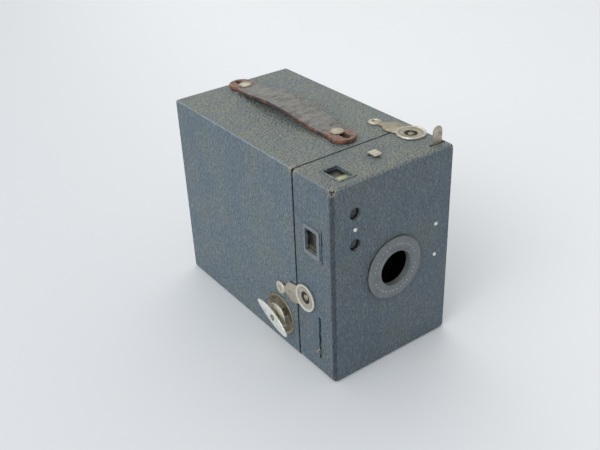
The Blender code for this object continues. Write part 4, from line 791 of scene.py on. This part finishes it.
front_cuts.append(cutter(block(
    (-side_x - 1 * MM, groove_y - GROOVE_HALF * MM, 79 * MM),
    (-side_x + GROOVE_DEPTH * MM, groove_y + GROOVE_HALF * MM, 101.5 * MM))))
time_x, time_y = middle_of("time_slide").x, middle_of("time_slide").y
front_cuts.append(cutter(block((time_x - 5.8 * MM, time_y - 0.8 * MM, top_z - 3 * MM),
                               (time_x + 5.8 * MM, time_y + 0.8 * MM, top_z + 3 * MM))))
front_cuts.append(cutter(block((-3.2 * MM, tab_high.y - 1.4 * MM, top_z - 3 * MM),
                               (3.2 * MM, tab_high.y + 0.5 * MM, top_z + 3 * MM))))
front_bm = cut_away(hollow_box(front_low, front_high, seam_y, FRONT_FOLD, LIP, FRONT_WALL),
                    front_cuts)
finish_piece("front_skin", front_bm, [front_covering, card], "front",
             ["front_shell", "front_panel"], even=True)

# %% The rear case
case_cuts = [drill(key_place, LEFT, 12.8, 4, 56)]
eyelets = {name: middle_of(f"latch_eyelet_{name}") for name in ("top", "side")}
case_cuts.append(drill((eyelets["top"].x, eyelets["top"].y, top_z), UP, 2.6, 4, 24))
case_cuts.append(drill((-side_x, eyelets["side"].y, eyelets["side"].z), LEFT, 2.6, 4, 24))
for name in ("front", "rear"):
    stud = middle_of(f"handle_stud_{name}")
    case_cuts.append(drill((stud.x, stud.y, top_z), UP, 2.1, 4, 24))
bush_base, bush_side = middle_of("tripod_bush_base"), middle_of("tripod_bush_side")
case_cuts.append(drill((bush_base.x, bush_base.y, 0), DOWN, 5.3, 3, 40))
case_cuts.append(drill((side_x, bush_side.y, bush_side.z), RIGHT, 5.3, 3, 40))
window = middle_of("red_window")
case_cuts.append(drill((window.x, rear_y, window.z), REAR, 8.0, 4, 48))
case_bm = cut_away(hollow_box(case_low, case_high, case_low.y, CASE_FOLD, LIP, CASE_WALL),
                   case_cuts)
finish_piece("case_skin", case_bm, [case_covering, card], "case", ["rear_case"],
             even=True)

# %% [markdown]
# ## Laid-on covering
# The covering is one long strip wrapped round each box. On the back it is turned
# over the edges, and a separate panel hides the turn. Round the top finder the
# strip stands up in a low ridge, where it is glued down on the window's edge.

# %% Back panel and the ridge round the top window
back = block((case_low.x + 3.2 * MM, rear_y - 0.2 * MM, 3.2 * MM),
             (case_high.x - 3.2 * MM, rear_y + 0.3 * MM, top_z - 3.2 * MM))
back = cut_away(back, [drill((window.x, rear_y, window.z), REAR, 8.6, 2, 48)])
soften(back, 0.16 * MM, 2)
finish_piece("back_covering", back, case_covering, "case", even=True)

ridge_grow = 1.5 * MM
ridge = block((top_glass[0].x + edge - ridge_grow, top_glass[0].y + edge - ridge_grow,
               top_z - 0.3 * MM),
              (top_glass[1].x - edge + ridge_grow, top_glass[1].y - edge + ridge_grow,
               top_z + 0.55 * MM))
ridge = cut_away(ridge, [cutter(block(
    (top_glass[0].x + edge, top_glass[0].y + edge, top_z - 2 * MM),
    (top_glass[1].x - edge, top_glass[1].y - edge, top_z + 2 * MM)))])
soften(ridge, 0.5 * MM, 3)
finish_piece("top_window_ridge", ridge, front_covering, "front")

# %% [markdown]
# ## Lens ring
# A pressed metal ring surrounds the lens opening. It is painted close to the
# colour of the covering, with a raised inner rim and a circle of small raised
# marks. The marks on such rings are lettering, and plain dots stand for them.

# %% Turn the ring and set the dots
DOTS, DOT_RADIUS, SHADED_WALL_RADIUS = 34, 15.6, 19.9
ring_out = (front_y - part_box("lens_ring")[0].y) / MM
ring_radius = (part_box("lens_ring")[1].x - lens_axis.x) / MM
ring_place = Vector((lens_axis.x, front_y, lens_axis.z))
ring_frame = facing(ring_place, FRONT, RIGHT)
ring_profile = [(11.25, -2.0), (11.25, ring_out - 0.35), (11.5, ring_out - 0.08),
                (11.85, ring_out), (12.2, ring_out - 0.1), (12.5, ring_out - 0.5),
                (12.9, 1.35), (13.4, 1.25), (18.6, 1.5), (19.3, 1.5), (19.75, 1.3),
                (19.95, 1.0), (ring_radius, 0.95), (ring_radius, 0.05), (11.9, 0.05), (11.6, -2.0)]
ring = lathe(ring_profile, ring_frame, 96)
# Painted shade: the faces of the outer wall take black japan, for the shade along the ring's
# raised edge.
for face in ring.faces:
    centre = face.calc_center_median()
    if math.hypot(centre.x - lens_axis.x, centre.z - lens_axis.z) > SHADED_WALL_RADIUS * MM:
        face.material_index = 2
for index in range(DOTS):
    angle = 2 * math.pi * index / DOTS
    if index % (DOTS // 2) in (0, 1):
        continue
    dot = bmesh.new()
    bmesh.ops.create_uvsphere(dot, u_segments=10, v_segments=6, radius=1)
    size = (0.5, 0.8 if index % 3 else 0.5, 0.25)
    bmesh.ops.scale(dot, vec=[part * MM for part in size], verts=dot.verts)
    turn = Matrix.Rotation(angle, 4, "Z") @ Matrix.Translation((DOT_RADIUS * MM, 0, 1.2 * MM))
    bmesh.ops.transform(dot, matrix=ring_frame @ turn, verts=dot.verts)
    for face in dot.faces:
        face.material_index = 1
    joined(ring, dot)
finish_piece("lens_ring_pressed", ring, [lens_paint, mark_paint, japan], "front",
             ["lens_ring"])

# %% [markdown]
# ## Rivets, studs and bushes
# These are all turned or headed from rod, so each is one spun outline. A rivet
# has a low dome, and the handle's stud a mushroom head on a neck for the slot in
# the strap to slide under.

# %% Rivets on the front
for name in ("rivet_finder", "rivet_guide_upper", "rivet_guide_lower"):
    low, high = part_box(name)
    spot = (low + high) / 2
    tall = (front_y - low.y) / MM
    head = [(0, tall), (0.5, tall - 0.06), (0.95, tall - 0.24), (1.22, tall - 0.48),
            (1.3, 0.1), (1.3, 0.02), (0.7, 0.0), (0.7, -3.0), (0, -3.0)]
    rivet = lathe(head, facing((spot.x, front_y, spot.z), FRONT), 20, closed=False)
    finish_piece(name + "_head", rivet, bright_nickel, "front", [name])

# %% Handle studs
for name in ("front", "rear"):
    node = f"handle_stud_{name}"
    low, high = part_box(node)
    tall = (high.z - top_z) / MM
    foot = (low.z - top_z) / MM
    mushroom = [(0, tall), (1.5, tall - 0.04), (2.8, tall - 0.2), (3.7, tall - 0.5),
                (4.15, tall - 0.85), (4.2, tall - 1.05), (3.9, tall - 1.2), (1.8, tall - 1.2),
                (1.8, foot + 0.6), (3.0, foot + 0.6), (3.0, foot), (0, foot)]
    stud = lathe(mushroom, facing(((low.x + high.x) / 2, (low.y + high.y) / 2, top_z), UP), 36,
                 closed=False)
    finish_piece(node + "_turned", stud, cream_nickel, "case", [node])

# %% Tripod bushes, threaded for a screw
def bush(node, place, out):
    """A flanged bush whose bore has the grooves of a thread."""
    low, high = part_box(node)
    deep = abs((high - low).dot(Vector(out))) / MM
    mouth = -0.2
    bottom = mouth - deep
    groove, turns = 0.26, 7
    profile = [(5.0, bottom + 0.8), (5.0, mouth - 0.25), (4.75, mouth), (3.5, mouth),
               (3.1, mouth - 0.35)]
    pitch = (deep - 0.7) / turns
    for index in range(turns):
        start = mouth - 0.35 - pitch * index
        profile += [(3.1 + groove, start - pitch * 0.5), (3.1, start - pitch)]
    profile += [(3.1, bottom), (9.0, bottom), (9.0, bottom + 0.8)]
    finish_piece(node + "_threaded", lathe(profile, facing(place, out), 44), nickel,
                 "case", [node])


bush("tripod_bush_base", (bush_base.x, bush_base.y, 0), DOWN)
bush("tripod_bush_side", (side_x, bush_side.y, bush_side.z), RIGHT)

# %% [markdown]
# ## Finders
# Two waist-level finders look forward through small lenses and throw a picture
# on ground glass, one on top and one on the left side. The side glass sits in a
# thin pressed frame with rounded corners. It is painted like the covering, and
# pale where its edge has been rubbed.

# %% Side finder frame
def rounded_rectangle(half_u, half_v, radius, steps=6):
    """Corner arcs in order round a rectangle, in mm."""
    corners = ((half_u, half_v, 0), (-half_u, half_v, 90), (-half_u, -half_v, 180),
               (half_u, -half_v, 270))
    return [point for u, v, start in corners
            for point in arc((math.copysign(abs(u) - radius, u), math.copysign(
                abs(v) - radius, v)), radius, start, start + 90, steps)]


frame_low, frame_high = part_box("finder_frame_side")
frame_middle = (frame_low + frame_high) / 2
half_y = (frame_high.y - frame_low.y) / 2 / MM
half_z = (frame_high.z - frame_low.z) / 2 / MM
hole_low_y = (side_glass[0].y + edge - frame_middle.y) / MM
hole_high_y = (side_glass[1].y - edge - frame_middle.y) / MM
hole_low_z = (side_glass[0].z + edge - frame_middle.z) / MM
hole_high_z = (side_glass[1].z - edge - frame_middle.z) / MM
frame_bm = stamp(rounded_rectangle(half_y, half_z, 1.4), 0.62)
hole = stamp([(u + (hole_low_y + hole_high_y) / 2, v + (hole_low_z + hole_high_z) / 2)
              for u, v in rounded_rectangle((hole_high_y - hole_low_y) / 2,
                                            (hole_high_z - hole_low_z) / 2, 0.8)], 3, -1)
frame_bm = cut_away(frame_bm, [cutter(hole)])
soften(frame_bm, 0.22 * MM, 3)
side_frame = facing((-side_x - 0.05 * MM, frame_middle.y, frame_middle.z), LEFT, REAR)
side_frame = side_frame @ Matrix.Scale(-1, 4, (0, 1, 0))
bmesh.ops.transform(frame_bm, matrix=side_frame, verts=frame_bm.verts)
bmesh.ops.recalc_face_normals(frame_bm, faces=frame_bm.faces)
finish_piece("side_finder_frame", frame_bm, finder_paint, "front",
             ["finder_frame_side"])

# %% [markdown]
# ## Winding key
# The key is a stamped oval wing on a steel shaft. Round it are a dished plate let
# into the case and a collar that slides with the shaft. Turned profiles suit the
# dish and the collar. The wing is a stamped oval, swaged thicker and curled out at
# the end that a thumb pushes.

# %% Dish, bush and collar
key_frame = facing(key_place, LEFT, REAR)
DISH_FLOOR = -2.2
dish_profile = [(13.75, 0.15), (13.75, 0.4), (13.55, 0.66), (13.2, 0.75), (12.7, 0.75),
                (12.3, 0.62), (11.9, 0.2), (11.3, -0.7), (10.5, -1.65),
                (9.7, DISH_FLOOR + 0.12), (8.8, DISH_FLOOR), (4.0, DISH_FLOOR),
                (4.0, DISH_FLOOR - 0.6), (9.3, DISH_FLOOR - 0.6), (10.2, DISH_FLOOR - 0.4),
                (11.0, -1.9), (11.8, -0.9), (12.2, 0.0), (12.5, 0.15)]
# The dish's dark olive nickel is partly tarnish and partly painted shade in its bowl.
finish_piece("key_dish_pressed", lathe(dish_profile, key_frame, 72), olive_and_shade_nickel, "case",
             ["key_dish"])
bush_profile = [(2.8, DISH_FLOOR), (3.7, DISH_FLOOR), (3.7, -2.95), (5.0, -2.95), (5.0, -3.55),
                (2.8, -3.55)]
finish_piece("key_bush_turned", lathe(bush_profile, key_frame, 32), steel, "case",
             ["key_bush"])
collar_profile = [(2.8, 2.6), (6.6, 2.42), (7.6, 2.4), (8.2, 2.5), (8.5, 2.8), (8.5, 3.15),
                  (8.25, 3.45), (7.6, 3.65), (6.6, 3.95), (6.0, 4.2), (2.8, 4.2)]
finish_piece("key_collar_turned", lathe(collar_profile, key_frame, 56), cream_nickel,
             "key_slide", ["key_collar"])

# %% Wing
wing_low, wing_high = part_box("key_wing")
wing_under = (-side_x - wing_high.x) / MM
wing_thick = (wing_high.x - wing_low.x) / MM
WING_LENGTH, WING_HALF_WIDTH, WING_TILT = 31.5, 4.7, 23
WING_CURL, WING_SWELL, WING_HOLE = 0.35, 0.45, 2.1
oval = arc((0, 0), 1, 0, 360, 72)[:-1]
wing = stamp([(u * WING_LENGTH / 2, v * WING_HALF_WIDTH) for u, v in oval], wing_thick, wing_under)
middle_height = (wing_under + wing_thick / 2) * MM
soften(wing, 0.4 * MM, 4)
sliced(wing, RIGHT, [station * MM for station in range(-14, 15, 2)])
for vert in wing.verts:
    toward_rear = min(max(vert.co.x / (15.7 * MM), 0), 1)
    vert.co.z += WING_CURL * MM * toward_rear ** 2
    vert.co.z = middle_height + (vert.co.z - middle_height) * (1 + WING_SWELL * toward_rear ** 3)
wing = cut_away(wing, [drill((0, 0, middle_height), UP, WING_HOLE, 3, 28)])
key_turned = key_frame @ Matrix.Rotation(math.radians(-WING_TILT), 4, "Z")
bmesh.ops.transform(wing, matrix=key_turned, verts=wing.verts)
finish_piece("key_wing_stamped", wing, bright_nickel, "key", ["key_wing"])


# %% [markdown]
# ## Spring catches
# A catch is one strip of springy nickelled metal. An eyelet holds one end to the
# rear case, and a dished ring at the other end snaps over a stud on the front
# section. The strip bends when the catch is lifted; here its arm and ring are
# one mesh, instead of two rigid halves. A thin disc of black card round each
# stud is painted shade, for the shade inside the ring.

# %% Ring, arm and eyelet of one catch
RING_REACH, RING_RADIUS, RING_HOLE, RIM_START, ARM_CROWN = 26.4, 8.9, 4.0, 7.1, 0.55
ARM_SIDE = [(3.4, 2.5), (4.9, 2.2), (6.9, 2.8), (8.8, 4.5), (10.5, 5.9), (13, 6.7), (16, 6.3),
            (19.6, 5.7)]


def make_catch(name, surface, out, along):
    """The catch's arm and ring, then its eyelet, and the stud that the ring snaps over."""
    frame_here = facing(surface, out, along)
    eye = arc((0, 0), 4.2, 36, 324, 22)
    arm = stamp(ARM_SIDE[::-1] + eye + [(u, -v) for u, v in ARM_SIDE], 0.6, 0.3)
    sliced(arm, RIGHT, [step * MM for step in range(2, 19)])
    soften(arm, 0.2 * MM, 2, 50)
    for vert in arm.verts:
        if vert.co.x > 4 * MM:
            swell = math.sin(min((vert.co.x - 4 * MM) / (15 * MM), 1) * math.pi)
            vert.co.z += ARM_CROWN * MM * swell * max(0, 1 - (vert.co.y / (9 * MM)) ** 2)
    profile = [(RING_HOLE, 0.32), (RING_HOLE, 0.75), (4.3, 0.92), (4.8, 0.95), (5.8, 0.8),
               (6.7, 0.85), (7.4, 1.2), (7.9, 1.5), (8.3, 1.55), (8.7, 1.4), (RING_RADIUS, 1.05),
               (RING_RADIUS, 0.5), (8.7, 0.3)]
    ring_mesh = lathe(profile, Matrix.Translation((RING_REACH * MM, 0, 0)), 60)
    for face in ring_mesh.faces:
        centre = face.calc_center_median()
        from_middle = math.hypot(centre.x - RING_REACH * MM, centre.y)
        face.material_index = int(from_middle > RIM_START * MM and centre.z > 0.7 * MM)
    whole = joined(arm, ring_mesh)
    bmesh.ops.transform(whole, matrix=frame_here, verts=whole.verts)
    bmesh.ops.recalc_face_normals(whole, faces=whole.faces)
    plate = finish_piece(f"catch_{name}", whole, [catch_nickel, rim_nickel],
                         replaced=[f"latch_plate_{name}"])
    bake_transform(plate)
    eyelet = [(1.7, -2.2), (1.7, 1.1), (1.9, 1.36), (2.5, 1.5), (3.3, 1.45), (3.9, 1.25),
              (4.3, 1.0), (4.35, 0.92), (2.3, 0.92), (2.3, -2.2)]
    finish_piece(f"catch_eyelet_{name}", lathe(eyelet, frame_here, 40), cream_nickel,
                 "case", [f"latch_eyelet_{name}"])
    stud_node = f"latch_stud_{name}"
    low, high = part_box(stud_node)
    tall = max(abs((corner - Vector(surface)).dot(out)) for corner in (low, high)
               if (corner - Vector(surface)).dot(out) > 0) / MM
    knob = [(0, tall), (0.8, tall - 0.05), (1.4, tall - 0.2), (1.8, tall - 0.45),
            (2.0, tall - 0.7), (1.9, tall - 0.9), (1.8, 0.3), (1.8, -2.0), (0, -2.0)]
    spot = (low + high) / 2
    base = spot - out * (spot - Vector(surface)).dot(out)
    # The stud's dark olive nickel is painted shade, for the shade inside the ring.
    finish_piece(f"catch_stud_{name}", lathe(knob, facing(base, out), 36, closed=False),
                 olive_and_shade_nickel, "front", [stud_node])
    # Painted shade: a thin disc of black card round the stud stands for the shade inside the ring.
    shade_disc_outline = [(1.9, 0.1), (3.6, 0.1), (3.8, 0.04), (3.8, -0.3), (1.9, -0.3)]
    finish_piece(f"catch_ring_shade_{name}", lathe(shade_disc_outline, facing(base, out), 36), card,
                 "front")


for name, out, tilt in (("top", UP, 11.7), ("side", LEFT, 14.1)):
    turn = math.radians(tilt)
    along = Vector((math.sin(turn), -math.cos(turn), 0)) if name == "top" else Vector(
        (0, -math.cos(turn), math.sin(turn)))
    spot = eyelets[name]
    surface = Vector((spot.x, spot.y, top_z)) if name == "top" else Vector(
        (-side_x, spot.y, spot.z))
    make_catch(name, surface, out, along)

# %% [markdown]
# ## Leather strap
# The handle is a thick strip of brown leather, doubled and pressed, with a round
# eye at each end. The eyes have slots, so that the strap slides up off its studs
# when it is lifted. Wear has bared rust-coloured fibres along its edges. Its top
# is painted pale grey as a sheen of light, and its creases and grain hollows are
# painted darker as shade. Two halves meet in the middle, and each is shaped with
# a bow, so the strap bows up as real leather does.

# %% Strap leather
strap_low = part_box("handle_strap")[0]
stud_front, stud_rear = middle_of("handle_stud_front"), middle_of("handle_stud_rear")
strap_middle = (stud_front.y + stud_rear.y) / 2


def strap_leather():
    material, tree, shader = new_finish("worn_strap_leather")
    place = own_coordinates(tree)
    grain = use_group(tree, grain_group, {"Vector": place, "Cell": 0.55 * MM})
    upward = rescale(tree, parts_of(tree, surface_normal(tree))[2], 0.55, 0.95)
    along = parts_of(tree, place)[1]
    creased = stretched(tree, place, (0.35, 1, 0.35))
    creases = rescale(tree, cloud(tree, creased, 2.2 * MM, 6, 0.75), 0.5, 0.68)
    colour = blend_colour(tree, grain["Mottle"], (0.066, 0.043, 0.045), (0.110, 0.075, 0.070))
    rust = rescale(tree, cloud(tree, place, 7 * MM, 6, 0.72), 0.47, 0.58)
    ends = rescale(tree, calc(tree, "ABSOLUTE", calc(tree, "SUBTRACT", along, strap_middle)),
                   42 * MM, 50 * MM)
    bare = calc(tree, "MAXIMUM", times(tree, rust, 0.75),
                times(tree, ends, 0.8))
    tanned = blend_colour(tree, cloud(tree, place, 2 * MM, 5, 0.7), (0.20, 0.075, 0.035),
                          (0.52, 0.22, 0.10))
    handled = rescale(tree, cloud(tree, place, 4.5 * MM, 5, 0.7), 0.46, 0.6)
    tanned = blend_colour(tree, times(tree, handled, 0.75), tanned,
                          (0.085, 0.062, 0.060))
    side_colour = blend_colour(tree, bare, colour, tanned)
    # Painted sheen: faces that look up take a pale grey that stands for light glancing off the
    # top.
    top_sheen_colour = blend_colour(tree, grain["Mottle"], (0.180, 0.176, 0.158), (0.272, 0.265, 0.236))
    # Painted shade: the creases are darkened as if shade lies in them.
    top_sheen_colour = blend_colour(tree, times(tree, creases, 0.75), top_sheen_colour,
                              (0.07, 0.055, 0.05))
    top_sheen_colour = blend_colour(tree, times(tree, ends, 0.7), top_sheen_colour, tanned)
    colour = blend_colour(tree, upward, side_colour, top_sheen_colour)
    # Painted shade: the grain's hollows are darkened as if shade lies in them.
    colour = blend_colour(tree, times(tree, grain["Hollows"], 0.45), colour,
                          (0.025, 0.017, 0.016))
    height = calc(tree, "SUBTRACT", times(tree, grain["Height"], 0.6),
                  times(tree, creases, 0.8))
    set_shader(tree, shader, Base_Color=colour, Specular_IOR_Level=0.5,
               Roughness=rescale(tree, creases, 0, 1, 0.45, 0.62),
               Normal=bump(tree, height, 0.3, 0.7))
    return material


strap_finish = strap_leather()

# %% Strap shape: flat outline first, then slots, then the bow
EYE_OUT, EYE_RADIUS, STRAP_THICK, STRAP_RISE = 4.8, 8.2, 2.6, 4.4
NECK_HALF, HALF_WIDTH_MOST, SLOT_RADIUS = 6.8, 10.3, 2.3
SIDE_STEPS, LENGTH_SLICES = 30, 40
# The pressed border: how far each step goes inward, and how far it goes down, in mm.
BORDER = ((0.9, 0), (0.25, -0.22), (0.45, 0), (0.25, 0.2))
half_span = (stud_rear.y - stud_front.y) / 2 / MM
eye_at = half_span + EYE_OUT


def strap_half_width(distance):
    """Half the width in mm at a distance from the middle, from neck to neck."""
    share = min(abs(distance) / (eye_at - 6), 1)
    return NECK_HALF + (HALF_WIDTH_MOST - NECK_HALF) * max(math.cos(share * math.pi / 2), 0) ** 0.6


def bow(y):
    """How far the strap's underside lifts at a place along it."""
    share = min(abs(y / MM) / half_span, 1)
    return STRAP_RISE * MM * (0.5 + 0.5 * math.cos(math.pi * share)) ** 0.85


def strap_half(name, way):
    """Half the strap, from the middle to one eye. way is -1 for the front eye."""
    neck_at = eye_at - math.sqrt(EYE_RADIUS ** 2 - NECK_HALF ** 2)
    side = [(strap_half_width(d), d) for d in
            [neck_at * i / SIDE_STEPS for i in range(SIDE_STEPS)]]
    neck_turn = math.degrees(math.acos(NECK_HALF / EYE_RADIUS))
    eye = arc((0, eye_at), EYE_RADIUS, -neck_turn, 180 + neck_turn, LENGTH_SLICES)
    outline = side + eye + [(-x, y) for x, y in reversed(side)]
    bm = stamp(outline, STRAP_THICK)
    rims = [edge for edge in bm.edges if abs(edge.verts[0].co.z - edge.verts[1].co.z) < 1e-7
            and max(vert.co.y for vert in edge.verts) > 0.01 * MM
            and not all(vert.co.y < 0.01 * MM for vert in edge.verts)]
    bmesh.ops.bevel(bm, geom=rims, offset=0.75 * MM, segments=4, profile=0.5, affect="EDGES",
                    material=-1, clamp_overlap=True)
    top = max(bm.faces, key=lambda face: face.calc_center_median().z * face.calc_area())
    for inward, deep in BORDER:
        bmesh.ops.inset_region(bm, faces=[top], thickness=inward * MM, depth=deep * MM,
                               use_even_offset=True)
    slot_shape = arc((0, half_span), SLOT_RADIUS, 180, 360, 14) + arc(
        (0, eye_at + EYE_RADIUS / 2 - 0.4), SLOT_RADIUS, 0, 180, 14)
    bm = cut_away(bm, [cutter(stamp(slot_shape, 8, -3))])
    loose_end = [face for face in bm.faces if all(v.co.y < 0.01 * MM for v in face.verts)]
    bmesh.ops.delete(bm, geom=loose_end, context="FACES")
    sliced(bm, REAR, [step * eye_at * MM / LENGTH_SLICES for step in range(1, LENGTH_SLICES)])
    sliced(bm, RIGHT, [x * MM for x in (-7.5, -5, -2.6, 0, 2.6, 5, 7.5)])
    bmesh.ops.triangulate(bm, faces=bm.faces)
    for vert in bm.verts:
        crown = 0.35 * MM * (1 - min((vert.co.x / (8 * MM)) ** 2, 1))
        fade = min(max(1 - (vert.co.y / MM - half_span + 14) / 12, 0), 1)
        vert.co.z += bow(vert.co.y) + crown * fade + strap_low.z
        vert.co.y = strap_middle + way * vert.co.y
        vert.co.x *= way
    bmesh.ops.recalc_face_normals(bm, faces=bm.faces)
    piece = finish_piece(name, bm, strap_finish, replaced=["handle_strap"],
                         sharp=50)
    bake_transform(piece)


strap_half("strap_front_half", -1)
strap_half("strap_rear_half", 1)


# %% [markdown]
# ## Works and fittings whose shape is already right
# The measured nodes of the shutter, the slides and the film carrier have the
# right shape, but their mesh is loose triangles with hard edges. A copy of each
# is merged, its flat areas are dissolved, its edges are broken, and it takes the
# right finish.

# %% Copy, merge and soften
def refined(node, body, material, width):
    """A clean copy of a measured node, with its edges broken by a width in mm."""
    bm = bmesh.new()
    bm.from_mesh(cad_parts[node].data)
    bmesh.ops.remove_doubles(bm, verts=bm.verts, dist=MERGE_REACH)
    bmesh.ops.dissolve_limit(bm, angle_limit=math.radians(1), verts=bm.verts, edges=bm.edges)
    if width:
        soften(bm, width * MM, 2, 50)
    for face in bm.faces:
        face.material_index = 0
    finish_piece(node + "_finished", bm, material, body, [node], even=bool(width))


fittings = (
    ("stop_slide", cream_nickel, "nickel", 0.2, ("stop_slide",)),
    ("time_slide", catch_nickel, "nickel", 0.22, ("time_slide",)),
    ("shutter_lever", nickel, "nickel", 0.12, ("shutter_lever",)),
    ("shutter_disc", japan, "black_steel", 0.12, ("shutter_disc",)),
    ("front", japan, "black_steel", 0.15,
     ("stop_guide", "time_guide", "carrier_cheek_left", "carrier_cheek_right", "film_frame",
      "finder_bracket", "lens_cell")),
    ("front", card, "black_card", 0.12, ("mechanism_board", "light_lip", "light_cone")),
    ("front", steel, "steel", 0.12,
     ("disc_post", "lever_post", "supply_pin_left", "supply_pin_right", "take_up_pin_right",
      "roller_axle_top", "roller_axle_bottom")),
    ("front", steel, "steel", 0, ("shutter_spring",)),
    ("front", mirror, "mirror", 0.06, ("finder_mirror_top", "finder_mirror_side")),
    ("front", top_screen, "finder_screen", 0.15, ("finder_glass_top",)),
    ("front", side_screen, "finder_screen", 0.15, ("finder_glass_side",)),
    ("front", lens_glass, "lens_glass", 0, ("meniscus_lens",)),
    ("front", finder_lens_glass, "lens_glass", 0, ("finder_lens_top", "finder_lens_side")),
    ("roller_top", nickel, "nickel", 0.15, ("film_roller_top",)),
    ("roller_bottom", nickel, "nickel", 0.15, ("film_roller_bottom",)),
    ("spool", spool_wood, "spool_wood", 0.25, ("take_up_spool",)),
    ("key", olive_and_shade_nickel, "steel", 0.15, ("key_shaft",)),
    ("case", red_film, "red_film", 0.1, ("red_window",)),
    ("case", japan, "black_steel", 0.1, ("window_ring",)),
)
for body, finish, slot, width, nodes in fittings:
    for node in nodes:
        refined(node, body, finish, width)

# %% [markdown]
# ## Floor, light and camera
# The camera stands on a plain pale floor under broad soft light from the upper
# left, with a weaker window behind it on the right. The room is pale too, but
# darker behind the viewer, and the floor is painted a little darker toward the
# left as shade.

# %% Floor
def floor_finish():
    material, tree, shader = new_finish("pale_floor")
    place = own_coordinates(tree)
    tint = blend_colour(tree, cloud(tree, place, 0.3, 3), (0.84, 0.852, 0.86), (0.86, 0.87, 0.875))
    # Painted shade: the floor's colour darkens toward the left.
    toward_left_shade = vector_calc(tree, "DOT_PRODUCT", place, (-1, 0.15, 0))
    tint = blend_colour(tree, rescale(tree, toward_left_shade, -0.25, 0.2), tint,
                        (0.70, 0.714, 0.73))
    set_shader(tree, shader, Base_Color=tint, Roughness=0.85, Specular_IOR_Level=0.2)
    return material


floor_mesh = bpy.data.meshes.new("floor")
floor_bm = bmesh.new()
bmesh.ops.create_grid(floor_bm, x_segments=1, y_segments=1, size=3)
floor_bm.to_mesh(floor_mesh)
floor_bm.free()
floor_mesh.materials.append(floor_finish())
floor = bpy.data.objects.new("floor", floor_mesh)
bpy.context.scene.collection.objects.link(floor)

# %% Camera
camera_data = bpy.data.cameras.new("view")
camera_data.lens, camera_data.sensor_width = 49.47, 36.0
camera = bpy.data.objects.new("view", camera_data)
forward = Vector((0.49079, 0.70473, -0.51233))
view_right = Vector((0.80665, -0.58977, -0.03852))
view_up = Vector((0.32930, 0.39436, 0.85793))
turn = Matrix((view_right, view_up, -forward)).transposed()
camera.matrix_world = Matrix.Translation((-0.26941, -0.37646, 0.33107)) @ turn.to_4x4()
bpy.context.scene.collection.objects.link(camera)
bpy.context.scene.camera = camera


# %% Light
def soft_light(name, place, size, watts, colour):
    data = bpy.data.lights.new(name, "AREA")
    data.shape, data.size, data.energy, data.color = "SQUARE", size, watts, colour
    light = bpy.data.objects.new(name, data)
    light.matrix_world = facing(place, Vector(place) - Vector((0, 0, 0.06)))
    bpy.context.scene.collection.objects.link(light)


soft_light("window_behind_right", (0.45, 0.75, 1.3), 1.1, 5.5, (1.0, 0.985, 0.96))
soft_light("pale_wall_left", (-1.25, -0.35, 1.05), 1.3, 12.5, (0.96, 0.985, 1.0))
world = bpy.data.worlds.new("pale_room")
world.use_nodes = True
room = world.node_tree
sky = room.nodes["Background"]
seen = put(room, "ShaderNodeTexCoord").outputs["Generated"]
behind = vector_calc(room, "DOT_PRODUCT", seen, Vector((0.35, -0.9, -0.1)).normalized())
shade = rescale(room, behind, 0.1, 0.95)
room.links.new(blend_colour(room, shade, (0.96, 0.98, 1.0), (0.45, 0.48, 0.53)),
               sky.inputs["Color"])
sky.inputs["Strength"].default_value = 0.72
bpy.context.scene.world = world
bpy.context.scene.view_settings.view_transform = "Standard"
